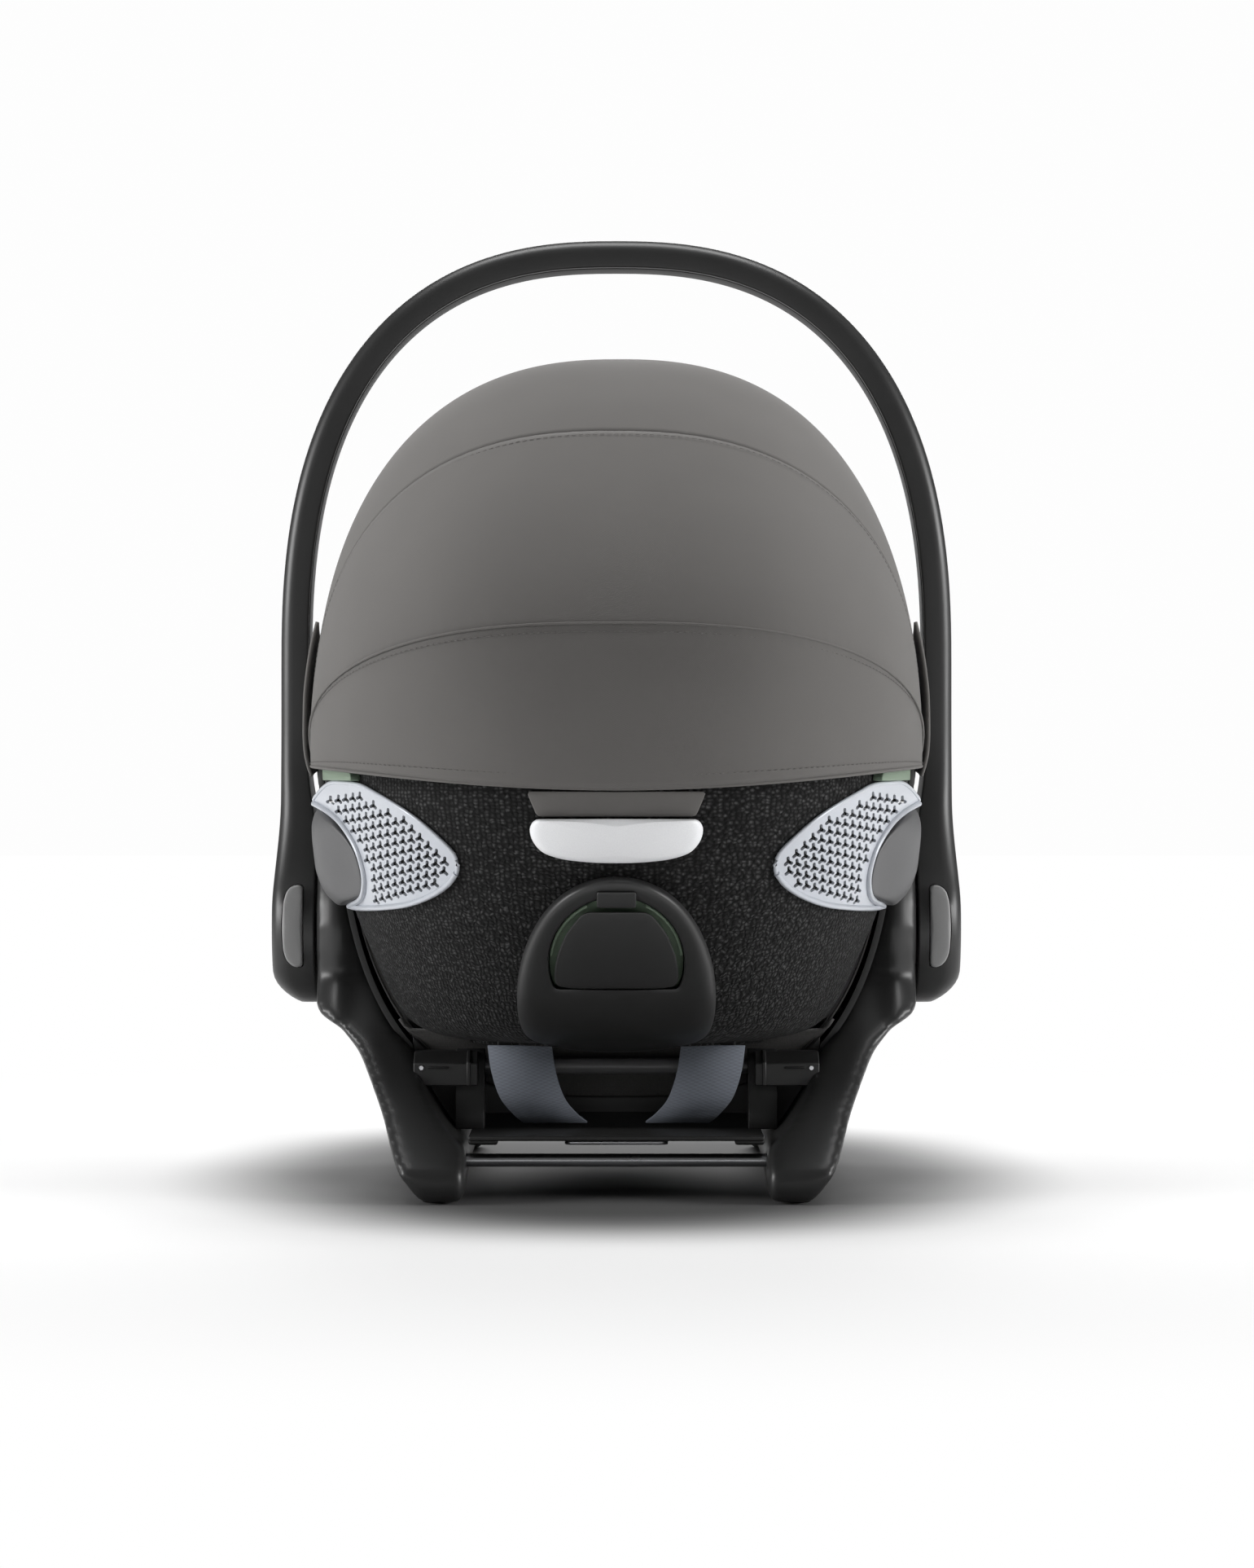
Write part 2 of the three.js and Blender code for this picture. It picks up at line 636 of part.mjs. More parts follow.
function releaseLever() {
  const bar = new THREE.Shape();
  const sag = LEVER.corner / 2;
  bar.moveTo(-LEVER.half, LEVER.top);
  bar.quadraticCurveTo(-LEVER.half, LEVER.bottom + sag, -LEVER.half + LEVER.corner * 1.5, LEVER.bottom + sag);
  bar.quadraticCurveTo(0, LEVER.bottom - sag, LEVER.half - LEVER.corner * 1.5, LEVER.bottom + sag);
  bar.quadraticCurveTo(LEVER.half, LEVER.bottom + sag, LEVER.half, LEVER.top);
  const foot = outline([
    [-LEVER.footHalf, LEVER.bottom + sag], [LEVER.footHalf, LEVER.bottom + sag],
    [LEVER.footHalf, LEVER.footTop], [-LEVER.footHalf, LEVER.footTop],
  ]);
  return join(skin(LEVER.low, LEVER.high, bar), skin(PATCH.low, LEVER.low + GAP, foot));
}

// Arch outline of the belt guide, grown by a margin
function guideOutline(margin) {
  const half = GUIDE.half + margin;
  const top = GUIDE.top + margin;
  const bottom = GUIDE.bottom - margin;
  const shape = new THREE.Shape();
  shape.moveTo(-half, GUIDE.widest);
  shape.bezierCurveTo(-half, top - GUIDE.corner, -half + GUIDE.corner, top, 0, top);
  shape.bezierCurveTo(half - GUIDE.corner, top, half, top - GUIDE.corner, half, GUIDE.widest);
  shape.lineTo(half, bottom + GUIDE.corner);
  shape.quadraticCurveTo(half, bottom + GUIDE.corner / 4, half - GUIDE.corner, bottom + GUIDE.corner / 4);
  shape.quadraticCurveTo(0, bottom - GUIDE.corner / 4, -half + GUIDE.corner, bottom + GUIDE.corner / 4);
  shape.quadraticCurveTo(-half, bottom + GUIDE.corner / 4, -half, bottom + GUIDE.corner);
  return shape;
}

// Round mouth of the belt guide, closed along the flap's lower edge
function mouthOutline(margin) {
  const radius = GUIDE_MOUTH.radius - margin;
  const floor = FLAP.bottom - GAP * 2 + margin;
  const start = Math.asin((floor - GUIDE_MOUTH.z) / radius);
  const shape = new THREE.Shape();
  shape.moveTo(radius * Math.cos(start), floor);
  shape.absarc(0, GUIDE_MOUTH.z, radius, start, Math.PI - start);
  return shape;
}

// Part of a prism that lies further than a distance from the shell
function outside(shape, distance, segments = 6) {
  const window = prism(shape, -SHELL.depth - OVERRUN, SHELL.frontEdge, ALONG_Y, segments);
  return cut(window, shellBody(distance));
}

function guideHousing() {
  const half = TAB.half + SLIDE_GAP;
  const top = TAB.top + TAB.travel + SLIDE_GAP;
  const tabRoom = outline([
    [-half, FLAP.top - SLIDE_GAP], [half, FLAP.top - SLIDE_GAP], [half, top], [-half, top],
  ]);
  return cut(
    skin(GAP, GUIDE.high, guideOutline(0)),
    outside(mouthOutline(0), GUIDE.recess, 10),
    outside(tabRoom, TAB.low - GAP));
}

function guideLiner() {
  return skin(LINER.low, LINER.high, mouthOutline(SEAM_GAP), 10);
}

function beltFlap() {
  const shape = new THREE.Shape();
  const { half, bottom, corner } = FLAP;
  shape.moveTo(-half, bottom + corner);
  shape.quadraticCurveTo(-half, FLAP.shoulder, -FLAP.topHalf, FLAP.top);
  shape.lineTo(FLAP.topHalf, FLAP.top);
  shape.quadraticCurveTo(half, FLAP.shoulder, half, bottom + corner);
  shape.quadraticCurveTo(half, bottom, half - corner, bottom);
  shape.lineTo(corner - half, bottom);
  shape.quadraticCurveTo(-half, bottom, -half, bottom + corner);
  return skin(FLAP.low, FLAP.high, shape);
}

function beltTab() {
  return skin(TAB.low, TAB.high, outline([
    [-TAB.half, TAB.bottom], [TAB.half, TAB.bottom], [TAB.half, TAB.top], [-TAB.half, TAB.top],
  ]));
}

// Perforated wing that wraps the shell's side, as a leaf from its tip to its flared rim
const WING_TIP_ANGLE = 62;
const WING_RIM_LOW_ANGLE = 27;
const WING_RIM_HIGH_ANGLE = 21;

function wingPlace(lift) {
  return (u, v) => {
    const rim = THREE.MathUtils.lerp(WING_RIM_LOW_ANGLE, WING_RIM_HIGH_ANGLE, u);
    const angle = THREE.MathUtils.degToRad(THREE.MathUtils.lerp(WING_TIP_ANGLE, rim, v));
    const low = THREE.MathUtils.lerp(WING.tipLow, WING.rimLow, v ** 0.45);
    const high = THREE.MathUtils.lerp(WING.tipHigh, WING.rimHigh, v ** 0.8);
    return shellPoint(angle, THREE.MathUtils.lerp(low, high, u), lift + WING.lift * v ** 4);
  };
}

function ventWing() {
  return slab(grid(6, 10, wingPlace(WING.low)), grid(6, 10, wingPlace(WING.low + WING.thickness)));
}

// Side-impact pad beside the wing's rim, pointed at its foot
const PAD_FRONT_ANGLE = 14.7;
const PAD_RIM_STEP_ANGLE = 1.1;

function padPlace(outer) {
  return (u, v) => {
    const rim = THREE.MathUtils.lerp(WING_RIM_LOW_ANGLE, WING_RIM_HIGH_ANGLE, u) - PAD_RIM_STEP_ANGLE;
    const angle = THREE.MathUtils.degToRad(THREE.MathUtils.lerp(rim, PAD_FRONT_ANGLE, v));
    const bow = (2 * v - 1) ** 2;
    const low = PAD.low + PAD.thickness * 2 * bow;
    const high = PAD.high - PAD.thickness * bow;
    const swell = Math.sin(Math.PI * u) ** 0.5 * Math.cos((v - 0.5) * Math.PI) ** 0.5;
    const lift = PAD.lift + outer * PAD.thickness * (1 + swell);
    return shellPoint(angle, THREE.MathUtils.lerp(low, high, u), lift);
  };
}

function impactPad() {
  return slab(grid(8, 4, padPlace(0)), grid(8, 4, padPlace(1)));
}

// Belt hook above each wing
const HOOK_FROM_ANGLE = 33;
const HOOK_TO_ANGLE = 15;

function beltHook() {
  const place = (lift) => (u, v) => shellPoint(
    THREE.MathUtils.degToRad(THREE.MathUtils.lerp(HOOK_FROM_ANGLE, HOOK_TO_ANGLE, v)),
    THREE.MathUtils.lerp(HOOK.bottom, HOOK.top, u), lift);
  return slab(grid(1, 4, place(HOOK.low)), grid(1, 4, place(HOOK.low + HOOK.thickness)));
}

// Point of a canopy bow at angle theta and place k of its columns, drawn in by an inset
function hoodSample(theta, k, inset) {
  const share = THREE.MathUtils.lerp(HOOD_END_SHARE, 1 - HOOD_END_SHARE, k / HOOD_COLUMNS);
  const reach = SHELL.depth * lookUp(HOOD_SHARES, theta, 1) - inset;
  const [x, r] = superPoint(HOOD_HALF_WIDTH - inset, reach, lookUp(HOOD_SHARES, theta, 2), share * Math.PI);
  const turn = THREE.MathUtils.degToRad(theta);
  return new THREE.Vector3(x, HOOD.y - r * Math.cos(turn), HOOD.z + r * Math.sin(turn));
}

function hoodPoint(theta, k, inset) {
  const floor = Math.min(Math.floor(k), HOOD_COLUMNS - 1);
  return hoodSample(theta, floor, inset).lerp(hoodSample(theta, floor + 1, inset), k - floor);
}

function hoodPanel(from, to, rows) {
  const place = (inset) => (u, v) => hoodPoint(THREE.MathUtils.lerp(from, to, u), v * HOOD_COLUMNS, inset);
  return slab(grid(rows, HOOD_COLUMNS, place(HOOD.fabric)), grid(rows, HOOD_COLUMNS, place(0)));
}

// Bow with an eye at each end, stepped in from the fabric
function hoodBow(theta, step, eyeRadius) {
  const outer = HOOD.fabric + HOOD.bowGap + step;
  const inner = outer + HOOD.bowThickness;
  const first = hoodSample(theta, 0, outer);
  const second = hoodSample(theta, 1, outer);
  const centre = new THREE.Vector3(0, HOOD.y, HOOD.z);
  const radius = (point) => Math.hypot(point.y - centre.y, point.z - centre.z);
  const start = (eyeRadius - HOOD.bowGap * 1.5 - radius(first)) / (radius(second) - radius(first));
  const stops = [start, ...Array.from({ length: HOOD_COLUMNS - 1 }, (_, k) => k + 1), HOOD_COLUMNS - start];
  const rings = stops.map((k) => {
    const [a, b] = [theta - HOOD.bowHalfAngle, theta + HOOD.bowHalfAngle];
    return [hoodPoint(a, k, outer), hoodPoint(b, k, outer), hoodPoint(b, k, inner), hoodPoint(a, k, inner)];
  });
  const x = HOOD_HALF_WIDTH - outer;
  const eye = (side) => {
    const faces = [side * (x - HOOD.bowThickness + GAP), side * (x - GAP)];
    const [from, to] = faces.sort((a, b) => a - b);
    const ring = barX(eyeRadius, from, to, HOOD.y, HOOD.z, 20);
    return cut(ring, barX(HOOD.hubRadius + GAP, from - GAP, to + GAP, HOOD.y, HOOD.z, 20));
  };
  return join(loft(rings), eye(1), eye(-1));
}

// Handle arch: centre line of straight arms and a full superellipse over the top
function archStation(share) {
  const half = HANDLE.inner + HANDLE.thickness / 2;
  const [x, z] = superPoint(half, HANDLE.rise, HANDLE_FULLNESS, share * Math.PI);
  const normal = new THREE.Vector2(
    Math.sign(x) * Math.abs(x / half) ** (HANDLE_FULLNESS - 1) / half,
    Math.abs(z / HANDLE.rise) ** (HANDLE_FULLNESS - 1) / HANDLE.rise).normalize();
  return { x, z: HANDLE.straightTop + z, normal };
}

function archBand(low, high, width, bottom) {
  const steps = 26;
  const stations = Array.from({ length: steps + 1 }, (_, i) => archStation(i / steps));
  const [first, last] = [stations[0], stations[steps]];
  const all = [{ ...first, z: bottom }, ...stations, { ...last, z: bottom }];
  const centre = HANDLE.thickness / 2;
  const half = width / 2;
  const edge = Math.min(HANDLE.corner, (high - low) / 3);
  const section = [
    [low, half - edge], [low + edge, half], [high - edge, half], [high, half - edge],
    [high, edge - half], [high - edge, -half], [low + edge, -half], [low, edge - half],
  ];
  return loft(all.map(({ x, z, normal }) => section.map(([offset, y]) => new THREE.Vector3(
    x + normal.x * (offset - centre), PIVOT.y + y, z + normal.y * (offset - centre)))));
}

function handleHub(side) {
  const span = (a, b) => [side * a, side * b].sort((p, q) => p - q);
  const disc = barX(HANDLE.hubRadius, ...span(HANDLE.hubInner, HANDLE.hubOuter), PIVOT.y, PIVOT.z, 32);
  const cap = barX(HANDLE.capRadius, ...span(HANDLE.hubOuter - GAP, HANDLE.capOuter), PIVOT.y, PIVOT.z, 24);
  const bore = barX(PIN.radius + GAP, ...span(HANDLE.hubInner - GAP, PIN.outer + GAP), PIVOT.y, PIVOT.z, 20);
  const notch = block(
    ...span(HANDLE.hubInner - GAP, HANDLE.capOuter + GAP),
    PIVOT.y - HANDLE.hubRadius - GAP, PIVOT.y - BUTTON.reach + BUTTON.depth + GAP,
    PIVOT.z - BUTTON.below - GAP, PIVOT.z + BUTTON.above + GAP);
  return { solid: join(disc, cap), room: [bore, notch] };
}

function handleFrame() {
  const [right, left] = [handleHub(1), handleHub(-1)];
  const arch = archBand(HANDLE.trim + GAP, HANDLE.thickness, HANDLE.width, PIVOT.z);
  const body = join(arch, right.solid, left.solid);
  return cut(body, ...right.room, ...left.room);
}

function handleTrim() {
  return archBand(0, HANDLE.trim, HANDLE.trimWidth, HANDLE.trimBottom);
}

function handleButton() {
  const shape = new THREE.Shape();
  const bulge = BUTTON.thickness / 2;
  const inner = HANDLE.hubOuter - BUTTON.floorDepth;
  const outer = inner + BUTTON.thickness;
  const low = PIVOT.z - BUTTON.below;
  const high = PIVOT.z + BUTTON.above;
  shape.moveTo(-inner, low);
  shape.lineTo(-inner, high);
  shape.lineTo(-inner - bulge, high);
  shape.quadraticCurveTo(-outer, high, -outer, high - bulge * 2);
  shape.lineTo(-outer, low + bulge * 2);
  shape.quadraticCurveTo(-outer, low, -inner - bulge, low);
  const rear = PIVOT.y - BUTTON.reach;
  return prism(shape, rear, rear + BUTTON.depth, ALONG_Y, 6);
}

function handlePin() {
  return barX(PIN.radius, PIN.inner, PIN.outer, PIVOT.y, PIVOT.z, 20);
}

// Seat cushion: fills the tub's floor and climbs its sides
function seatTop(x, y) {
  const along = THREE.MathUtils.mapLinear(y, SEAT.rear, SEAT.front, 0, 1);
  const across = Math.abs(x) / TUB.halfWidth;
  const crown = SEAT.crown * Math.sin(Math.PI * along) * (1 - across);
  const groove = (distance) => SEAT.channel * Math.exp(-((distance / SEAT.channelWidth) ** 2));
  const channels = groove(Math.abs(x) - TUB.halfWidth * 0.42) + groove(y - SEAT.front * 0.62);
  return SEAT.top - SEAT.drop * along ** 2 + crown + SEAT.wing * across ** 3 - channels;
}

function seatPad() {
  const reach = TUB.halfWidth;
  const place = (height) => (u, v) => {
    const x = THREE.MathUtils.lerp(-reach, reach, v);
    const y = THREE.MathUtils.lerp(SEAT.rear, SEAT.front, u);
    return new THREE.Vector3(x, y, height(x, y));
  };
  const body = slab(grid(10, 18, place(() => 0)), grid(10, 18, place(seatTop)));
  const inset = -TUB.wall - SEAT.clearance;
  return common(body, tubBody(inset, TUB.rearEdge, TUB.frontReach - TUB.blunt - TUB.wall));
}

// Back cushion on the inside of the shell, with a slot for the headrest rail
function backPad() {
  const place = (inner) => (u, v) => {
    const start = THREE.MathUtils.degToRad(BACK_PAD.startAngle);
    const angle = THREE.MathUtils.lerp(start, Math.PI - start, v);
    const ends = Math.min(1, Math.sin(Math.PI * u) * 2.2) ** 0.5;
    const rim = ends * Math.min(1, Math.sin(Math.PI * v) * 2.6) ** 0.5;
    const groove = Math.exp(-(((Math.abs(v - 0.5) - 0.24) / 0.03) ** 2)) * BACK_PAD.channel;
    const swell = BACK_PAD.edge + (BACK_PAD.thickness - BACK_PAD.edge) * rim - groove * rim;
    const lift = -SHELL.wall - BACK_PAD.clearance - inner * swell;
    return shellPoint(angle, THREE.MathUtils.lerp(BACK_PAD.bottom, BACK_PAD.top, u), lift);
  };
  const body = slab(grid(8, 24, place(0)), grid(8, 24, place(1)));
  const slot = RAIL.half + RAIL.room;
  const rear = -SHELL.depth - OVERRUN;
  return cut(body, block(-slot, slot, rear, 0, RAIL.bottom - RAIL.room, BACK_PAD.top + OVERRUN));
}

// Headrest: a bucket open to the front, its shell and its cushion
function headrestPlace(inset) {
  return (u, v) => {
    const [x, depth] = superPoint(HEAD.half - inset, HEAD.depth - inset, 3.4, v * Math.PI);
    const drop = HEAD.shoulderDrop * (Math.abs(x) / HEAD.half) ** 2;
    const z = THREE.MathUtils.lerp(HEAD.bottom, HEAD.top - drop, u);
    return new THREE.Vector3(x, headrestBack(z) + GAP + HEAD.depth - depth, z);
  };
}

function headrestShell() {
  return slab(grid(3, 18, headrestPlace(0)), grid(3, 18, headrestPlace(HEAD.wall)));
}

function headrestPad() {
  const outer = HEAD.wall + SEAM_GAP;
  const inner = (u, v) => {
    const rim = Math.sin(Math.PI * u) ** 0.4 * Math.min(1, Math.sin(Math.PI * v) * 3) ** 0.5;
    return headrestPlace(outer + HEAD.edge + (HEAD.pad - HEAD.edge) * rim)(u, v);
  };
  return slab(grid(6, 18, headrestPlace(outer)), grid(6, 18, inner));
}

// Flat webbing along a route, its width across the seat
function ribbon(route, width, thickness, rise = 0, steps = 12) {
  const curve = new THREE.CatmullRomCurve3(route.map((p) => new THREE.Vector3(...p)));
  const across = new THREE.Vector3(1, 0, 0);
  const rings = Array.from({ length: steps + 1 }, (_, i) => {
    const point = curve.getPoint(i / steps);
    const tangent = curve.getTangent(i / steps);
    const normal = new THREE.Vector3().crossVectors(across, tangent).normalize();
    const corner = (a, b) => point.clone().addScaledVector(across, a * width / 2)
      .addScaledVector(normal, rise + b * thickness / 2);
    return [corner(-1, -1), corner(1, -1), corner(1, 1), corner(-1, 1)];
  });
  return loft(rings);
}

function strapRoute(shares) {
  return shares.map(([x, y, z]) => [x * SHELL.halfWidth, y * SHELL.depth, z * SHELL.height]);
}

function shoulderStrap() {
  return ribbon(strapRoute(SHOULDER_ROUTE_SHARES), STRAP.width, STRAP.thickness, 0, 16);
}

function shoulderPad() {
  const rise = (STRAP.thickness + STRAP.padThickness) / 2 + GAP;
  return ribbon(strapRoute(SHOULDER_ROUTE_SHARES).slice(0, 4), STRAP.padWidth, STRAP.padThickness, rise, 8);
}

function rearStrap() {
  return ribbon(strapRoute(REAR_ROUTE_SHARES), STRAP.rearWidth, STRAP.thickness, 0, 10);
}

function crotchStrap() {
  const foot = seatTop(0, BUCKLE.y) + GAP;
  return block(
    -STRAP.width / 2, STRAP.width / 2,
    BUCKLE.y - STRAP.thickness / 2, BUCKLE.y + STRAP.thickness / 2, foot, BUCKLE.bottom - GAP);
}

function buckleBody() {
  const half = BUCKLE.width / 2;
  const top = BUCKLE.bottom + BUCKLE.height;
  const shape = roundedRectangle(-half, half, BUCKLE.bottom, top, BUCKLE.corner);
  const deep = BUCKLE.thickness / 2;
  const body = prism(shape, BUCKLE.y - deep, BUCKLE.y + deep, ALONG_Y, 4);
  const room = BUCKLE.button / 2 + GAP;
  const middle = BUCKLE.bottom + BUCKLE.height / 2;
  const floor = BUCKLE.y + deep - BUCKLE.press * 2 - GAP;
  return cut(body, block(
    -room, room, floor, BUCKLE.y + deep + GAP, middle - room, middle + room));
}

function buckleButton() {
  const half = BUCKLE.button / 2;
  const middle = BUCKLE.bottom + BUCKLE.height / 2;
  const face = BUCKLE.y + BUCKLE.thickness / 2 + GAP * 2;
  const shape = roundedRectangle(-half, half, middle - half, middle + half, BUCKLE.corner / 2);
  return prism(shape, face - BUCKLE.press, face, ALONG_Y, 4);
}

function buckleTongue() {
  const low = BUCKLE.bottom + BUCKLE.height + GAP;
  const half = TONGUE.width / 2;
  const shape = roundedRectangle(
    -TONGUE.spacing - half, -TONGUE.spacing + half, low, low + TONGUE.height, TONGUE.thickness);
  return prism(shape, BUCKLE.y - TONGUE.thickness / 2, BUCKLE.y + TONGUE.thickness / 2, ALONG_Y, 3);
}

// Slope of the tub's floor at a station
function tubSlope(y) {
  return Math.atan((tubFloor(y + GAP) - tubFloor(y - GAP)) / (2 * GAP));
}

// Places a piece made about the origin on the tub's floor
function onFloor(geometry) {
  const slope = tubSlope(ADJUSTER.y);
  geometry.rotateX(slope);
  geometry.translate(0, ADJUSTER.y, tubFloor(ADJUSTER.y) + (TUB.wall + ADJUSTER.seat) / Math.cos(slope));
  return geometry;
}

function adjusterHousing() {
  const [w, l] = [ADJUSTER.width / 2, ADJUSTER.length / 2];
  const body = prism(roundedRectangle(-w, w, -l, l, ADJUSTER.corner), 0, ADJUSTER.height, null, 4);
  const room = ADJUSTER.button / 2 + GAP;
  const floor = ADJUSTER.height - ADJUSTER.press * 2;
  return onFloor(cut(body, block(-room, room, -room, room, floor, ADJUSTER.height + GAP)));
}

function adjusterButton() {
  const half = ADJUSTER.button / 2;
  const shape = roundedRectangle(-half, half, -half, half, ADJUSTER.corner / 2);
  const top = ADJUSTER.height + GAP * 2;
  return onFloor(prism(shape, top - ADJUSTER.press, top, null, 4));
}

function adjusterTail() {
  const steps = 4;
  const route = Array.from({ length: steps + 1 }, (_, i) => {
    const y = THREE.MathUtils.lerp(TAIL.from, TAIL.to, i / steps);
    return [0, y, tubFloor(y) + (TUB.wall + TAIL.rise) / Math.cos(tubSlope(y))];
  });
  return ribbon(route, STRAP.width, STRAP.thickness, 0, 8);
}

function harnessYoke() {
  const top = PAN.underside - GAP;
  const shape = roundedRectangle(-YOKE.half, YOKE.half, YOKE.rear, YOKE.front, YOKE.corner);
  return prism(shape, top - YOKE.thickness, top, null, 3);
}

// Axis of the recline handle, under the tub's floor
function reclineAxis() {
  const y = TUB.frontReach - RECLINE.setback;
  return [y, tubFloor(y) - RECLINE.drop];
}

// Recline handle and the ears under the tub that carry it
function reclineHandle() {
  const [y, z] = reclineAxis();
  const paddle = prism(
    roundedRectangle(0, RECLINE.reach, -RECLINE.thickness / 2, RECLINE.thickness / 2, RECLINE.thickness / 3),
    -RECLINE.half, RECLINE.half, ALONG_X, 3);
  paddle.rotateX(THREE.MathUtils.degToRad(RECLINE.slopeAngle));
  paddle.translate(0, y, z);
  const barrel = barX(RECLINE.barrel, -RECLINE.half, RECLINE.half, y, z);
  const end = RECLINE.half + RECLINE.ear;
  return join(paddle, barrel, barX(RECLINE.pin, -end, end, y, z, 12));
}

function reclineEar(side) {
  const [y, z] = reclineAxis();
  const radius = RECLINE.barrel + RECLINE.pin / 2;
  const shape = new THREE.Shape();
  const top = tubFloor(y) + TUB.wall / 2;
  shape.moveTo(y + radius, z);
  shape.lineTo(y + radius, top);
  shape.lineTo(y - radius, top);
  shape.lineTo(y - radius, z);
  shape.absarc(y, z, radius, Math.PI, Math.PI * 2);
  const faces = [side * (RECLINE.half + SLIDE_GAP), side * (RECLINE.half + RECLINE.ear)];
  const [from, to] = faces.sort((a, b) => a - b);
  const ear = prism(shape, from, to, ALONG_X, 6);
  return cut(ear, barX(RECLINE.pin + GAP, from - GAP, to + GAP, y, z, 12));
}

function baseShell() {
  return join(tubShell(), reclineEar(1), reclineEar(-1));
}

// Materials
const finish = (color, roughness, metalness = 0) => ({ color, roughness, metalness });
const BLACK_PLASTIC = finish(0x2d2d2e, 0.55);
const GREY_PLASTIC = finish(0x484849, 0.5);
const SILVER = finish(0xcfd4da, 0.35, 0.5);
const STEEL = finish(0x9a9ca0, 0.25, 1);
const GREEN = finish(0x80907e, 0.5);
const RUBBER = finish(0x1c1c1c, 0.85);
const KNIT = finish(0x272727, 0.95);
const FABRIC = finish(0x6a6866, 0.9);
const WEBBING = finish(0x53565c, 0.8);
const CUSHION = finish(0x3a3a3b, 0.9);
const BUTTON_GREY = finish(0x797978, 0.45);

const part = new THREE.Group();

function add(name, geometry, look) {
  const mesh = new THREE.Mesh(geometry, new THREE.MeshStandardMaterial(look));
  mesh.name = name;
  part.add(mesh);
}

// Adds a piece on the right and its mirror image on the left
function addPair(name, geometry, look) {
  add(`${name}_right`, geometry, look);
  add(`${name}_left`, mirrored(geometry), look);
}

add('base_shell', baseShell(), BLACK_PLASTIC);
addPair('side_frame', sideFrame(), BLACK_PLASTIC);
addPair('foot_rear', rubberFoot(FOOT.rear), RUBBER);
addPair('foot_front', rubberFoot(FOOT.front), RUBBER);
add('latch_bar_rear', latchBar(LATCH_BAR.rear), STEEL);
add('latch_bar_front', latchBar(LATCH_BAR.front), STEEL);
add('recline_tube', barX(AXIS.tubeRadius, -AXIS.tubeHalfLength, AXIS.tubeHalfLength, AXIS.y, AXIS.z), STEEL);
addPair('recline_bracket', reclineBracket(), BLACK_PLASTIC);
addPair('handle_pin', handlePin(), STEEL);
add('seat_pad', seatPad(), CUSHION);
add('crotch_strap', crotchStrap(), WEBBING);
add('buckle_body', buckleBody(), BLACK_PLASTIC);
addPair('buckle_tongue', buckleTongue(), STEEL);
add('buckle_button', buckleButton(), BUTTON_GREY);
add('adjuster_housing', adjusterHousing(), BLACK_PLASTIC);
add('adjuster_button', adjusterButton(), BUTTON_GREY);
add('adjuster_strap', adjusterTail(), WEBBING);
add('harness_yoke', harnessYoke(), STEEL);
add('recline_handle', reclineHandle(), GREY_PLASTIC);

add('back_shell', backShell(), BLACK_PLASTIC);
add('back_cover', backCover(), KNIT);
add('back_patch', backPatch(), FABRIC);
addPair('vent_wing', ventWing(), SILVER);
addPair('belt_hook', beltHook(), GREEN);
add('belt_guide_housing', guideHousing(), BLACK_PLASTIC);
add('belt_guide_liner', guideLiner(), GREEN);
add('belt_flap', beltFlap(), BLACK_PLASTIC);
add('belt_tab', beltTab(), GREY_PLASTIC);
add('release_lever', releaseLever(), SILVER);
addPair('impact_pad', impactPad(), BUTTON_GREY);
add('back_pad', backPad(), CUSHION);
addPair('shoulder_strap', shoulderStrap(), WEBBING);
addPair('shoulder_pad', shoulderPad(), CUSHION);
addPair('rear_strap', rearStrap(), WEBBING);
add('headrest_shell', headrestShell(), GREY_PLASTIC);
add('headrest_pad', headrestPad(), CUSHION);

const SEAM_ANGLE = THREE.MathUtils.radToDeg(SEAM_GAP / 2 / HOOD_HALF_WIDTH);
add('canopy_rear_panel', hoodPanel(HEM_ANGLE, REAR_SEAM_ANGLE - SEAM_ANGLE, 3), FABRIC);
add('canopy_mid_panel', hoodPanel(REAR_SEAM_ANGLE + SEAM_ANGLE, MID_SEAM_ANGLE - SEAM_ANGLE, 4), FABRIC);
add('canopy_top_panel', hoodPanel(MID_SEAM_ANGLE + SEAM_ANGLE, FRONT_EDGE_ANGLE, 8), FABRIC);
const MID_EYE = HOOD.hubRadius + HOOD.eyeRim;
const FRONT_EYE = MID_EYE + HOOD.eyeRim;
add('canopy_mid_bow', hoodBow(MID_SEAM_ANGLE, 0, MID_EYE), GREY_PLASTIC);
add('canopy_front_bow', hoodBow(FRONT_EDGE_ANGLE, HOOD.frontStep, FRONT_EYE), GREY_PLASTIC);

add('handle_frame', handleFrame(), BLACK_PLASTIC);
add('handle_trim', handleTrim(), GREY_PLASTIC);
addPair('handle_button', handleButton(), BUTTON_GREY);

// The origin is below the middle of the whole seat, on the floor
part.position.y = -new THREE.Box3().setFromObject(part).getCenter(new THREE.Vector3()).y;

export default part;
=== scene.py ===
import math

import bmesh
import bpy
from bpy.props import FloatProperty, FloatVectorProperty, IntProperty, PointerProperty
from mathutils import Matrix, Vector
from mathutils.bvhtree import BVHTree
from mathutils.kdtree import KDTree


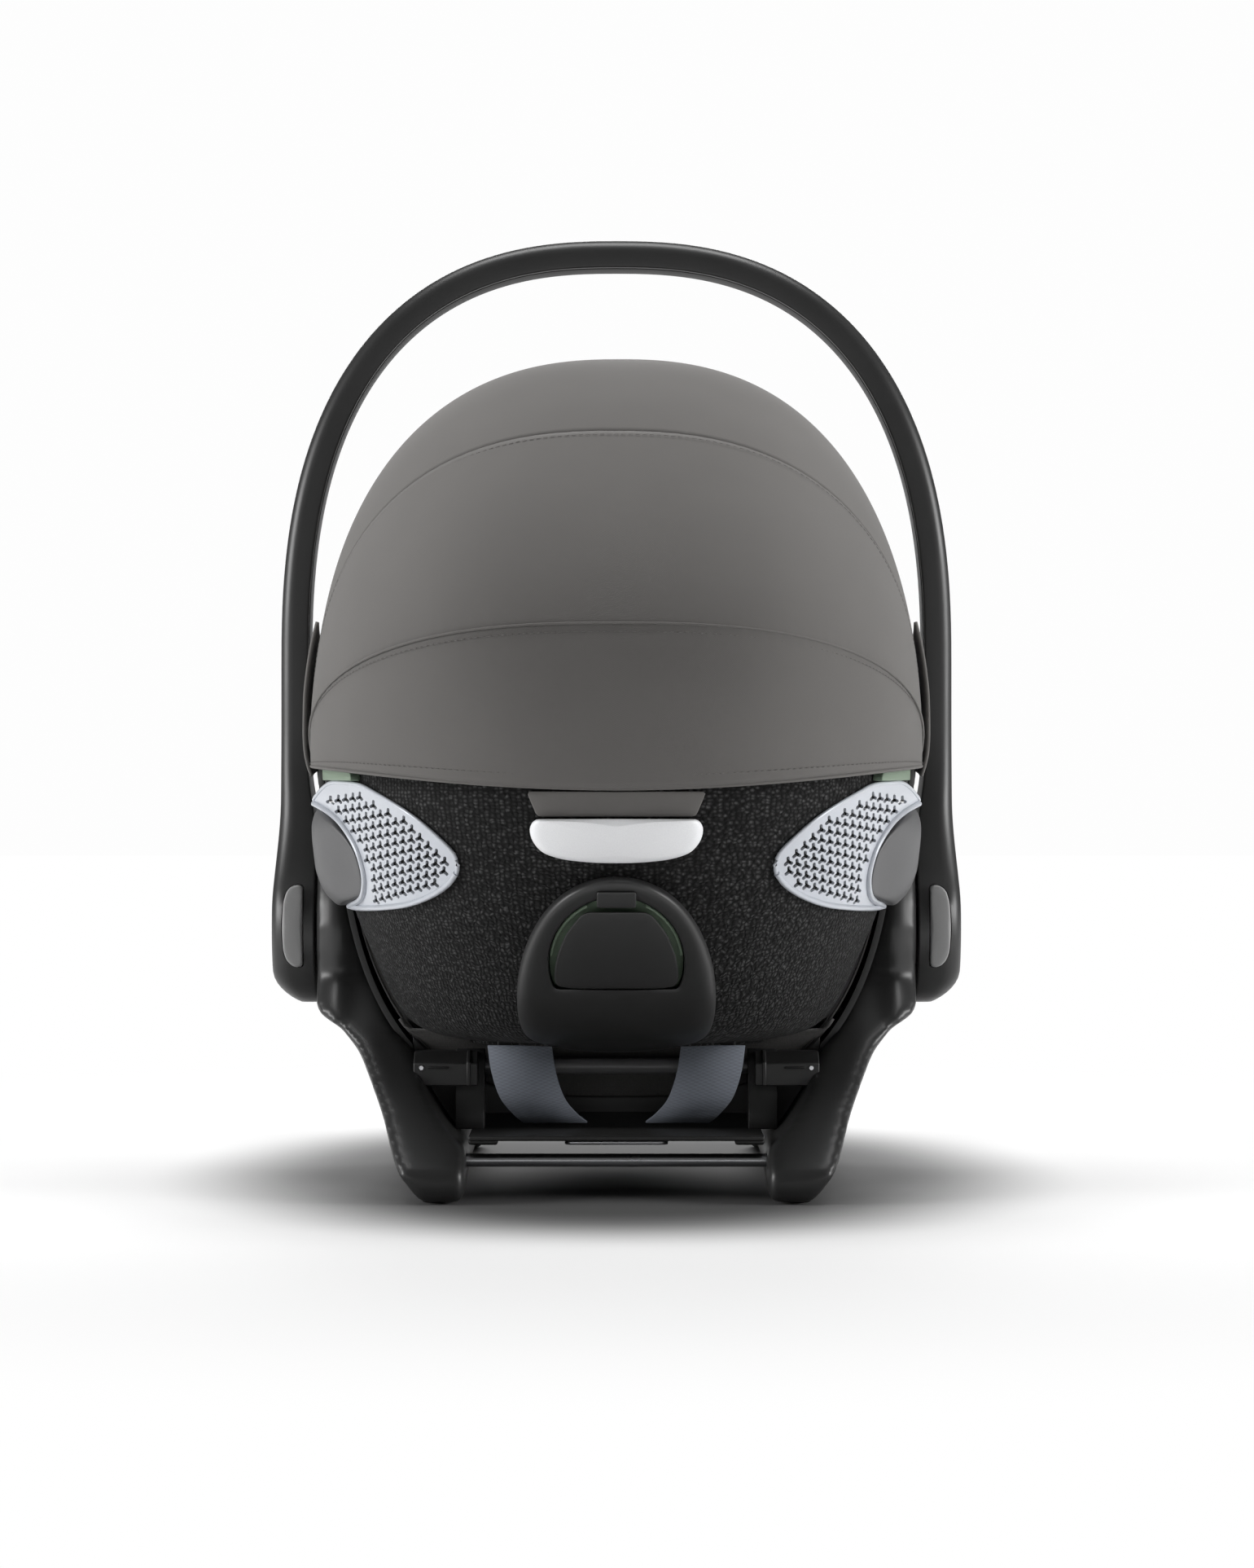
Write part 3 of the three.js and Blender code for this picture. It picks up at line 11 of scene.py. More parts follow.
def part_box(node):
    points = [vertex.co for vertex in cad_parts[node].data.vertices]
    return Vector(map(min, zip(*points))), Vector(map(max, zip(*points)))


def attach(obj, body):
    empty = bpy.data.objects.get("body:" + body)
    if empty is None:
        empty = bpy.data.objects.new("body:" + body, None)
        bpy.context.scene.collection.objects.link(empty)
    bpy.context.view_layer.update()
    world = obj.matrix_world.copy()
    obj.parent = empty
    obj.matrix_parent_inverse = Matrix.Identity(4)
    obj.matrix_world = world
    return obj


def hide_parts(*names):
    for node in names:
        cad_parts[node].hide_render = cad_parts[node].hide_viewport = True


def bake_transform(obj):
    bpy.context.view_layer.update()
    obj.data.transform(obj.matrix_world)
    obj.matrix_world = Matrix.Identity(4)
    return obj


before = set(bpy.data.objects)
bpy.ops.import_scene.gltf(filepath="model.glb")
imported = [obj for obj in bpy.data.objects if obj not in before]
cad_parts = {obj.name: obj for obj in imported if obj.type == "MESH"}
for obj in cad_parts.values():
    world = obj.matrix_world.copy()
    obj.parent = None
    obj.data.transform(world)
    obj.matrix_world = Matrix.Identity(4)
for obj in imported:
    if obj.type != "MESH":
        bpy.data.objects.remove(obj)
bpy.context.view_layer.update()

bl_info = {
    "name": "Infant Carrier Seat",
    "version": (1, 0, 0),
    "blender": (4, 5, 0),
    "location": "View3D > Sidebar > Carrier",
    "description": "Dresses the packed infant carrier seat with its fabrics, mouldings and stage",
    "category": "Object",
}

MM = 0.001
# Most mouldings keep a sharp edge where faces meet at more than this angle, in degrees
SHARP_ANGLE = 50
# Pivot of the handle, and the step along Y from this file's millimetres to the shared frame
PIVOT_Y, PIVOT_Z = -15.0, 162.0
PIN_LOW, PIN_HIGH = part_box("handle_pin_right")
SHIFT = (PIN_LOW.y + PIN_HIGH.y) / 2 / MM - PIVOT_Y

# Back shell: its half-width, depth, centre, foot and height, and at shares of its height
# the shares of its half-width and of its depth
SHELL_HALF, SHELL_DEPTH, SHELL_CENTRE, SHELL_FOOT, SHELL_HEIGHT = 178.0, 292.0, -20.0, 90.0, 318.0
SHELL_FULLNESS = 2.4
SHELL_FRONT = -102.0
SHELL_TABLE = (
    (0, 0.562, 0.377), (0.025, 0.719, 0.497), (0.06, 0.787, 0.582), (0.145, 0.854, 0.702),
    (0.283, 0.944, 0.849), (0.393, 0.978, 0.938), (0.503, 1, 1), (0.66, 1, 1),
    (0.818, 0.966, 0.925), (0.912, 0.876, 0.863), (0.975, 0.702, 0.77), (1, 0.449, 0.616),
)
# Front edge of the shell's sides, as heights and places along Y
SHELL_EAR = (
    (90, -102), (228, -102), (240, -34), (266, -24), (300, -34), (344, -74), (382, -140), (398, -212),
)

# Canopy: its pivot and half-width, its reach and fullness at angles about the pivot, and its seams
HOOD_Y, HOOD_Z, HOOD_HALF = -50.0, 265.0, 193.0
HOOD_TABLE = ((-3.1, 268.4, 2.6), (16, 292, 2.6), (46, 276, 2.45), (86, 258, 2.42), (118, 266, 2.4))
HEM, REAR_SEAM, MID_SEAM, FRONT_EDGE = -3.1, 16.0, 46.0, 118.0

# Tub: half-width, floor, ends along Y, top of its sides and toe, and its rim as places along Y and heights
TUB_HALF, TUB_FLOOR, TUB_REAR, TUB_REACH, TUB_SIDE_TOP, TUB_TOE = 178.0, 46.0, -96.0, 336.0, 310.0, 300.0
TUB_RIM = (
    (-140, 210), (-97, 217), (-74, 223), (-20, 228), (36, 224), (80, 208),
    (140, 203), (210, 222), (275, 264), (322, 298), (400, 312),
)

# Ends of the tub's moulding, bead, liner binding and liner along Y, close to its reach
MOULDING_END, BEAD_END, BINDING_END, LINER_END = 335.7, 335.2, 331.0, 330.5

# Carry handle: inner half-width, thickness, height of its straight arms, rise and fullness of its arch
HANDLE_INNER, HANDLE_THICK, HANDLE_STRAIGHT, HANDLE_RISE, HANDLE_FULLNESS = 198.5, 18.0, 330.0, 265.0, 2.5
# Middle of the release buttons, across and up
BUTTON_CENTRE = (206.4, 162.8)

# Camera of the photo: picture width, focal length and sideways shift in pixels, sensor in
# millimetres, distance behind the handle's pivot and height in metres
PHOTO_WIDTH, FOCAL_LENGTH, PHOTO_SHIFT, SENSOR_WIDTH = 1925, 5113.8, 13, 36.0
CAMERA_DISTANCE, CAMERA_HEIGHT = 2.7, 0.2533


def srgb(*values):
    """Linear colour of an 8-bit display colour."""
    return tuple(v / 255 / 12.92 if v <= 10 else ((v / 255 + 0.055) / 1.055) ** 2.4 for v in values)


# Settings

class CarrierSizes(bpy.types.PropertyGroup):
    """Sizes of the dressed pieces"""
    canopy_thickness: FloatProperty(
        name="Canopy Fabric", description="Thickness of the canopy's fabric",
        default=0.0016, min=0.0005, max=0.004, unit="LENGTH", precision=4)
    piping_radius: FloatProperty(
        name="Piping Radius", description="Radius of the piping in the canopy's rear seam",
        default=0.0008, min=0.0004, max=0.004, unit="LENGTH", precision=4)
    stitch_pitch: FloatProperty(
        name="Stitch Pitch", description="Distance from one stitch of the canopy to the next",
        default=0.0042, min=0.002, max=0.02, unit="LENGTH", precision=4)
    hole_pitch: FloatProperty(
        name="Hole Pitch", description="Distance between the wing's three-armed holes",
        default=0.0060, min=0.004, max=0.02, unit="LENGTH", precision=4)
    webbing_thickness: FloatProperty(
        name="Webbing Thickness", description="Thickness of the harness webbing",
        default=0.0018, min=0.0005, max=0.004, unit="LENGTH", precision=4)
    cushion_pressure: FloatProperty(
        name="Cushion Pressure", description="Pressure that swells the cushions while they are formed",
        default=4.0, min=0.0, max=20.0)
    cushion_swell: FloatProperty(
        name="Cushion Swell", description="Furthest that a point of a cushion may swell",
        default=0.005, min=0.0, max=0.02, unit="LENGTH", precision=4)
    cushion_steps: IntProperty(
        name="Cushion Steps", description="Simulated frames for each cushion",
        default=20, min=1, max=60)


def colour_setting(name, description, value):
    return FloatVectorProperty(
        name=name, description=description, subtype="COLOR", size=3, min=0.0, max=1.0, default=value)


class CarrierColours(bpy.types.PropertyGroup):
    """Colours of the materials"""
    canopy: colour_setting("Canopy", "Grey canopy fabric", srgb(106, 104, 102))
    knit: colour_setting("Knit", "Black loop knit of the back cover", srgb(38, 38, 38))
    cushion: colour_setting("Cushion", "Fabric of the cushions", srgb(82, 81, 80))
    webbing: colour_setting("Webbing", "Harness webbing", srgb(116, 121, 130))
    frame_plastic: colour_setting("Frame", "Side frames and carry handle", srgb(44, 44, 44))
    grip: colour_setting("Grip", "Inner face of the carry handle", srgb(32, 32, 32))
    black_plastic: colour_setting("Black Plastic", "Tub, shell and mechanism", srgb(34, 34, 34))
    guide_plastic: colour_setting("Guide Plastic", "Belt guide and its flap", srgb(46, 46, 46))
    grey_plastic: colour_setting("Grey Plastic", "Headrest shell and recline handle", srgb(84, 84, 83))
    button: colour_setting("Button", "Release buttons", srgb(138, 138, 138))
    side_pad: colour_setting("Side Pad", "Side pads of the shell", srgb(92, 92, 93))
    # The wings and the lever share one silver; the lever's copy is painted brighter, standing in for light
    # that reaches it less than the wings
    silver: colour_setting("Silver", "Silver wings", srgb(197, 201, 208))
    lever_brightened_silver: colour_setting("Lever", "Silver release lever", srgb(251, 252, 254))
    green: colour_setting("Green", "Belt hooks and liner", srgb(120, 138, 118))
    steel: colour_setting("Steel", "Latch bars, pins, buckle tongues and yoke", srgb(205, 206, 209))
    painted_tube: colour_setting("Painted Tube", "Black painted recline tube", srgb(96, 96, 97))
    rubber: colour_setting("Rubber", "Rubber feet", srgb(30, 30, 30))
    floor: colour_setting("Floor", "Pale floor", srgb(236, 236, 236))


# Shape helpers

def cubic(table, x, column=1):
    """Smooth value of a table's column at x, through its rows."""
    if x <= table[0][0]:
        return table[0][column]
    if x >= table[-1][0]:
        return table[-1][column]
    i = next(k for k in range(1, len(table)) if table[k][0] >= x)
    p0, p1 = table[i - 1], table[i]

    def slope(k):
        a, b = table[max(k - 1, 0)], table[min(k + 1, len(table) - 1)]
        return (b[column] - a[column]) / (b[0] - a[0])

    h = p1[0] - p0[0]
    t = (x - p0[0]) / h
    m0, m1 = slope(i - 1) * h, slope(i) * h
    return (
        (2 * t ** 3 - 3 * t ** 2 + 1) * p0[column] + (t ** 3 - 2 * t ** 2 + t) * m0
        + (3 * t ** 2 - 2 * t ** 3) * p1[column] + (t ** 3 - t ** 2) * m1)


def lerp(a, b, t):
    return a + (b - a) * t


def clamp(x):
    return max(0.0, min(1.0, x))


def soft(t):
    """Share eased at both ends."""
    t = clamp(t)
    return t * t * (3 - 2 * t)


def super_point(a, b, fullness, t):
    """Point of a superellipse at parameter t."""
    c, s = math.cos(t), math.sin(t)
    power = 2 / fullness
    return a * math.copysign(abs(c) ** power, c), b * math.copysign(abs(s) ** power, s)


def shell_half(z):
    return SHELL_HALF * cubic(SHELL_TABLE, (z - SHELL_FOOT) / SHELL_HEIGHT, 1)


def shell_depth(z):
    return SHELL_DEPTH * cubic(SHELL_TABLE, (z - SHELL_FOOT) / SHELL_HEIGHT, 2)


def on_shell(angle, z, lift):
    """Point lifted off the back shell, at an angle from +X round the back."""
    x, y = super_point(shell_half(z) + lift, shell_depth(z) + lift, SHELL_FULLNESS, angle)
    return x, SHELL_CENTRE - y, z


def behind(x, z, lift):
    """Point lifted off the back shell, as seen from behind at x and z."""
    half, depth = shell_half(z) + lift, shell_depth(z) + lift
    share = max(0.0, 1 - (abs(x) / half) ** SHELL_FULLNESS)
    return x, SHELL_CENTRE - depth * share ** (1 / SHELL_FULLNESS), z


def front_angle(z, y, lift=0.0):
    """Angle at which the shell meets the plane Y = y."""
    share = clamp((SHELL_CENTRE - y) / (shell_depth(z) + lift))
    return math.asin(share ** (SHELL_FULLNESS / 2))


def hood_point(theta, t, inset=0.0):
    """Point of the canopy at an angle about its pivot and a parameter across it."""
    reach = cubic(HOOD_TABLE, theta, 1) - inset
    x, r = super_point(HOOD_HALF - inset, reach, cubic(HOOD_TABLE, theta, 2), t)
    turn = math.radians(theta)
    return Vector((x, HOOD_Y - r * math.cos(turn), HOOD_Z + r * math.sin(turn)))


def metres(point):
    return Vector((point[0] * MM, (point[1] + SHIFT) * MM, point[2] * MM))


def surface(columns, rows, place, size=(1.0, 1.0), outward=None, chart=None):
    """Grid laid over place(u, v), with its UVs in metres and its faces turned away from outward."""
    bm = bmesh.new()
    bmesh.ops.create_grid(bm, x_segments=columns, y_segments=rows, size=1.0)
    layer = bm.loops.layers.uv.new("UVMap")
    for face in bm.faces:
        for loop in face.loops:
            u, v = (loop.vert.co.x + 1) / 2, (loop.vert.co.y + 1) / 2
            loop[layer].uv = chart(u, v) if chart else (u * size[0], v * size[1])
    for vert in bm.verts:
        vert.co = metres(place((vert.co.x + 1) / 2, (vert.co.y + 1) / 2))
    bmesh.ops.remove_doubles(bm, verts=bm.verts[:], dist=1e-6)
    turn_out(bm, outward)
    return bm


def turn_out(bm, outward=None):
    """Turns the faces of a closed shape outwards, or those of a sheet away from a point."""
    bmesh.ops.recalc_face_normals(bm, faces=bm.faces[:])
    if outward is not None:
        centre = metres(outward)
        total = sum(f.normal.dot(f.calc_center_median() - centre) * f.calc_area() for f in bm.faces)
        if total < 0:
            bmesh.ops.reverse_faces(bm, faces=bm.faces[:])


def tube(path, radius, sides=8, closed=False):
    """Round bead along points in millimetres."""
    count = len(path)
    points = [Vector(p) for p in path]

    def along(i):
        if closed:
            return (points[(i + 1) % count] - points[(i - 1) % count]).normalized()
        return (points[min(i + 1, count - 1)] - points[max(i - 1, 0)]).normalized()

    normal = along(0).orthogonal().normalized()
    frames = []
    for i in range(count):
        tangent = along(i)
        normal = (normal - tangent * normal.dot(tangent)).normalized()
        frames.append((points[i], normal, tangent.cross(normal)))
    rows = count if closed else count - 1

    def place(u, v):
        i = round(v * rows)
        p, a, b = frames[i % count]
        turn = 2 * math.pi * u
        return p + a * (radius * math.cos(turn)) + b * (radius * math.sin(turn))

    bm = surface(sides, rows, place, (2 * math.pi * radius * MM, length_of(points) * MM))
    if not closed:
        bmesh.ops.holes_fill(bm, edges=[e for e in bm.edges if e.is_boundary], sides=0)
    turn_out(bm)
    return bm


def length_of(points):
    return sum((Vector(b) - Vector(a)).length for a, b in zip(points, points[1:]))


def area_of(bm):
    return sum(f.calc_area() for f in bm.faces)


def spread(points, count):
    """Evenly spaced places along a smooth line through the points."""
    table = [(0.0, *points[0])]
    for a, b in zip(points, points[1:]):
        table.append((table[-1][0] + (Vector(b) - Vector(a)).length, *b))
    total = table[-1][0]
    return [Vector([cubic(table, total * i / count, k) for k in (1, 2, 3)]) for i in range(count + 1)]


def absorb(bm, other):
    """Adds one shape to another."""
    mesh = bpy.data.meshes.new("shape")
    other.to_mesh(mesh)
    other.free()
    bm.from_mesh(mesh)
    bpy.data.meshes.remove(mesh)


def mirror_of(bm):
    """Copy of a shape across the middle plane."""
    other = bm.copy()
    for vert in other.verts:
        vert.co.x = -vert.co.x
    bmesh.ops.reverse_faces(other, faces=other.faces[:])
    return other


def piece(name, bm, body, material, replaces=(), sharp=40.0):
    """Object made of a finished shape, riding on a body."""
    mesh = bpy.data.meshes.new(name)
    bm.to_mesh(mesh)
    bm.free()
    obj = bpy.data.objects.new(name, mesh)
    bpy.context.scene.collection.objects.link(obj)
    mesh.materials.append(material)
    mesh.shade_smooth()
    if sharp:
        mesh.set_sharp_from_angle(angle=math.radians(sharp))
    if body:
        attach(obj, body)
    if replaces:
        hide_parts(*replaces)
    return obj


def pair(name, bm, bodies, material, replaces=None, sharp=40.0):
    """A piece on the right and its mirror image on the left."""
    other = mirror_of(bm)
    made = []
    for side, shape, body in (("right", bm, bodies[0]), ("left", other, bodies[1])):
        nodes = (f"{replaces}_{side}",) if replaces else ()
        made.append(piece(f"{name}_{side}", shape, body, material, nodes, sharp))
    return made


def new_verts(made):
    """Vertices among what an operation has made."""
    return [g for g in made["geom"] if isinstance(g, bmesh.types.BMVert)]


def prism(bm, corners, x, width):
    """Adds a block with an outline in Y and Z that runs on from x across a width."""
    verts = [bm.verts.new(metres((x, y, z))) for y, z in corners]
    made = bmesh.ops.extrude_face_region(bm, geom=[bm.faces.new(verts)])
    bmesh.ops.translate(bm, verts=new_verts(made), vec=Vector((width * MM, 0, 0)))


def lower_arc(y, z, radius, steps):
    """Lower half of a circle in Y and Z, without its ends."""
    angles = [math.pi + math.pi * k / steps for k in range(1, steps)]
    return [(y + radius * math.cos(a), z + radius * math.sin(a)) for a in angles]


def cylinder(bm, radii, depth, place, axis=None, segments=40):
    """Adds a cylinder or cone, sizes in metres, that stands upright or is turned about an axis."""
    verts = bmesh.ops.create_cone(
        bm, cap_ends=True, segments=segments, radius1=radii[0], radius2=radii[1], depth=depth)["verts"]
    if axis:
        bmesh.ops.rotate(bm, verts=verts, matrix=Matrix.Rotation(math.pi / 2, 3, axis))
    bmesh.ops.translate(bm, verts=verts, vec=place)


def solidify(obj, thickness, offset=-1.0):
    modifier = obj.modifiers.new("Thickness", "SOLIDIFY")
    modifier.thickness = thickness
    modifier.offset = offset
    modifier.use_even_offset = True


def bevel(obj, width, segments=2, angle=35.0):
    modifier = obj.modifiers.new("Rounded Edges", "BEVEL")
    modifier.width = width
    modifier.segments = segments
    modifier.limit_method = "ANGLE"
    modifier.angle_limit = math.radians(angle)


def subdivide(obj, levels):
    modifier = obj.modifiers.new("Smooth Form", "SUBSURF")
    modifier.levels = levels
    modifier.render_levels = levels


def apply_modifiers(obj):
    """Turns the modified shape into the object's own mesh."""
    bpy.context.view_layer.update()
    graph = bpy.context.evaluated_depsgraph_get()
    mesh = bpy.data.meshes.new_from_object(obj.evaluated_get(graph), depsgraph=graph)
    old = obj.data
    obj.modifiers.clear()
    obj.data = mesh
    bpy.data.meshes.remove(old)


def finish_shape(obj, sharp=None):
    """Applies the modifiers and shades the result smooth, but for edges past an angle."""
    apply_modifiers(obj)
    obj.data.shade_smooth()
    if sharp:
        obj.data.set_sharp_from_angle(angle=math.radians(sharp))


def thicken(obj, thickness, offset=-1.0):
    """Gives a sheet its thickness and smooth shading."""
    solidify(obj, thickness, offset)
    finish_shape(obj)


def node_mesh(node):
    """Copy of a CAD node's mesh with its corners joined."""
    bm = bmesh.new()
    bm.from_mesh(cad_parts[node].data)
    bmesh.ops.remove_doubles(bm, verts=bm.verts[:], dist=1e-6)
    return bm


def rounded_node(node, body, material, width):
    """A CAD node's shape with its edges rounded, in its place."""
    bm = node_mesh(node)
    bmesh.ops.dissolve_limit(
        bm, angle_limit=math.radians(0.5), verts=bm.verts[:], edges=bm.edges[:])
    bmesh.ops.recalc_face_normals(bm, faces=bm.faces[:])
    obj = piece(f"{node}_moulding", bm, body, material, (node,), 30.0)
    bevel(obj, width)
    finish_shape(obj, SHARP_ANGLE)


def move_along_normals(obj, distance, shape=None):
    """Moves each vertex along its normal, once a function of its place and normal has shaped it."""
    bm = bmesh.new()
    bm.from_mesh(obj.data)
    bm.normal_update()
    for vert in bm.verts:
        if shape:
            shape(vert.co, vert.normal)
        vert.co += vert.normal * distance
    bm.to_mesh(obj.data)
    bm.free()


def softened_node(node, body, material, voxel, rounds, grow, shape):
    """A CAD node's shape remeshed, smoothed and grown into one moulding, in its place."""
    obj = piece(f"{node}_moulding", node_mesh(node), body, material, (node,), 0)
    remesh = obj.modifiers.new("Remesh", "REMESH")
    remesh.mode = "VOXEL"
    remesh.voxel_size = voxel
    smooth = obj.modifiers.new("Soften", "SMOOTH")
    smooth.factor = 0.5
    smooth.iterations = rounds
    apply_modifiers(obj)
    move_along_normals(obj, grow, shape)
    obj.data.shade_smooth()


def plaque(outline, centre, low, high, edge, crown=0.0, columns=72, inner=5, place=behind, rise=None):
    """Closed plate over an outline seen from behind, with a rounded rim and a crown."""
    ring = [outline(i / columns) for i in range(columns)]
    rise = rise or edge
    rows = [("share", 0.0, low), ("share", 0.6, low), ("inset", 0.0, low), ("inset", 0.0, high - rise)]
    steps = 4
    for k in range(1, steps + 1):
        turn = k / steps * math.pi / 2
        rows.append(("inset", edge * (1 - math.cos(turn)), high - rise + rise * math.sin(turn)))
    rows += [("share", 1 - k / inner, high) for k in range(1, inner + 1)]

    def at(u, v):
        ox, oz = ring[round(u * columns) % columns]
        kind, value, lift = rows[round(v * (len(rows) - 1))]
        dx, dz = ox - centre[0], oz - centre[1]
        reach = math.hypot(dx, dz)
        scale = max(0.0, 1 - value / reach) if kind == "inset" else value
        if kind == "share" and lift == high:
            scale *= max(0.0, 1 - edge / reach)
        if lift >= high - 1e-9:
            lift += crown * (1 - min(1.0, scale) ** 2)
        return place(centre[0] + dx * scale, centre[1] + dz * scale, lift)

    bm = surface(columns, len(rows) - 1, at)
    bmesh.ops.remove_doubles(bm, verts=bm.verts[:], dist=2e-6)
    turn_out(bm)
    return bm


def polygon_outline(corners, radius=0.0, smooth=4):
    """Outline through corners, rounded by a radius, at shares of its length."""
    points = []
    count = len(corners)
    for i, corner in enumerate(corners):
        here = Vector(corner)
        before, after = Vector(corners[i - 1]) - here, Vector(corners[(i + 1) % count]) - here
        reach = min(radius, before.length / 2, after.length / 2)
        a, b = here + before.normalized() * reach, here + after.normalized() * reach
        for k in range(smooth + 1):
            t = k / smooth
            points.append((a * (1 - t) ** 2 + here * 2 * t * (1 - t) + b * t ** 2))
    lengths = [0.0]
    loop = points + [points[0]]
    for a, b in zip(loop, loop[1:]):
        lengths.append(lengths[-1] + (b - a).length)

    def outline(share):
        want = (share % 1.0) * lengths[-1]
        i = next(k for k in range(1, len(lengths)) if lengths[k] >= want)
        span = lengths[i] - lengths[i - 1]
        t = (want - lengths[i - 1]) / span if span > 1e-9 else 0.0
        p = loop[i - 1].lerp(loop[i], t)
        return p.x, p.y

    return outline


def stitches(path, radius, length):
    """Row of short threads at evenly spaced places along a line in millimetres."""
    bm = bmesh.new()
    for a, b in zip(path, path[1:]):
        middle, way = (a + b) / 2, (b - a).normalized()
        ends = [middle - way * length / 2, middle, middle + way * length / 2]
        absorb(bm, tube(ends, radius, 5))
    return bm


# Materials

MATERIALS = {}


def feed(tree, socket, value):
    """Wires an output to an input, or sets the input's own value."""
    if isinstance(value, bpy.types.NodeSocket):
        tree.links.new(value, socket)
    else:
        socket.default_value = value


def add_node(tree, kind, inputs=None, **settings):
    """Shader node with its settings made and its inputs fed."""
    node = tree.nodes.new(f"ShaderNode{kind}")
    for name, value in settings.items():
        setattr(node, name, value)
    for key, value in (inputs or {}).items():
        feed(tree, node.inputs[key], value)
    return node


def math_node(tree, operation, *values, clamped=False):
    node = add_node(tree, "Math", dict(enumerate(values)), operation=operation, use_clamp=clamped)
    return node.outputs[0]


def noise(tree, vector, scale, detail=3.0, rough=0.5):
    inputs = {"Vector": vector, "Scale": scale, "Detail": detail, "Roughness": rough}
    return add_node(tree, "TexNoise", inputs).outputs["Fac"]


def bump(tree, height, strength, distance):
    inputs = {"Height": height, "Strength": strength, "Distance": distance}
    return add_node(tree, "Bump", inputs).outputs["Normal"]


def toned(tree, colour, value):
    """Colour multiplied by a grey value."""
    grey = add_node(tree, "CombineColor", {0: value, 1: value, 2: value})
    inputs = {0: 1.0, 6: colour, 7: grey.outputs[0]}
    return add_node(tree, "Mix", inputs, data_type="RGBA", blend_type="MULTIPLY").outputs[2]


def new_group(name, values):
    """Shader group with a colour and named values in, and colour, roughness and normal out."""
    group = bpy.data.node_groups.new(name, "ShaderNodeTree")
    face = group.interface
    face.new_socket(name="Colour", in_out="INPUT", socket_type="NodeSocketColor")
    for label, value in values.items():
        face.new_socket(name=label, in_out="INPUT", socket_type="NodeSocketFloat").default_value = value
    for label, kind in (("Colour", "Color"), ("Roughness", "Float"), ("Normal", "Vector")):
        face.new_socket(name=label, in_out="OUTPUT", socket_type=f"NodeSocket{kind}")
    return group, group.nodes.new("NodeGroupInput"), group.nodes.new("NodeGroupOutput")


def close_group(group, end, *results):
    """Wires a group's colour, roughness and normal to its end node."""
    for socket, result in zip(end.inputs, results):
        group.links.new(result, socket)
    return group


def moulded_grain_group():
    """Fine eroded grain of moulded plastic, with slow mottling and light scuffs."""
    group, start, end = new_group("Moulded Grain", {"Grain Size": 0.0008, "Depth": 0.00005, "Roughness": 0.5})
    place = add_node(group, "TexCoord").outputs["Object"]
    scale = math_node(group, "DIVIDE", 1.0, start.outputs["Grain Size"])
    grain = noise(group, place, scale, 2.0, 0.6)
    scuff = math_node(group, "SUBTRACT", noise(group, place, 26.0), 0.5)
    rough = math_node(group, "MULTIPLY_ADD", scuff, 0.16, start.outputs["Roughness"])
    shade = math_node(group, "MULTIPLY_ADD", grain, 0.16, 0.92)
    normal = bump(group, grain, 0.5, start.outputs["Depth"])
    return close_group(group, end, toned(group, start.outputs["Colour"], shade), rough, normal)


def woven_cloth_group():
    """Plain weave over the cloth's own UV map, in metres, with slubs and slow shading."""
    group, start, end = new_group("Woven Cloth", {"Thread": 0.0007, "Depth": 0.00012, "Contrast": 0.3})
    place = add_node(group, "TexCoord").outputs
    split = add_node(group, "SeparateXYZ", {0: place["UV"]}).outputs
    turn = math_node(group, "DIVIDE", math.pi, start.outputs["Thread"])
    warp = math_node(group, "SINE", math_node(group, "MULTIPLY", split[0], turn))
    weft = math_node(group, "SINE", math_node(group, "MULTIPLY", split[1], turn))
    height = math_node(group, "MULTIPLY_ADD", math_node(group, "MULTIPLY", warp, weft), 0.5, 0.5)
    slub = noise(group, place["Object"], 420.0, 2.0)
    broad = noise(group, place["Object"], 14.0, 2.0)
    relief = math_node(group, "ADD", height, math_node(group, "MULTIPLY", slub, 0.6))
    lift = math_node(group, "ADD", math_node(group, "MULTIPLY", relief, 0.5), broad)
    tone = math_node(group, "SUBTRACT", lift, 0.9)
    value = math_node(group, "ADD", math_node(group, "MULTIPLY", tone, start.outputs["Contrast"]), 1.0)
    rough = math_node(group, "MULTIPLY_ADD", slub, 0.15, 0.8)
    normal = bump(group, relief, 0.6, start.outputs["Depth"])
    return close_group(group, end, toned(group, start.outputs["Colour"], value), rough, normal)


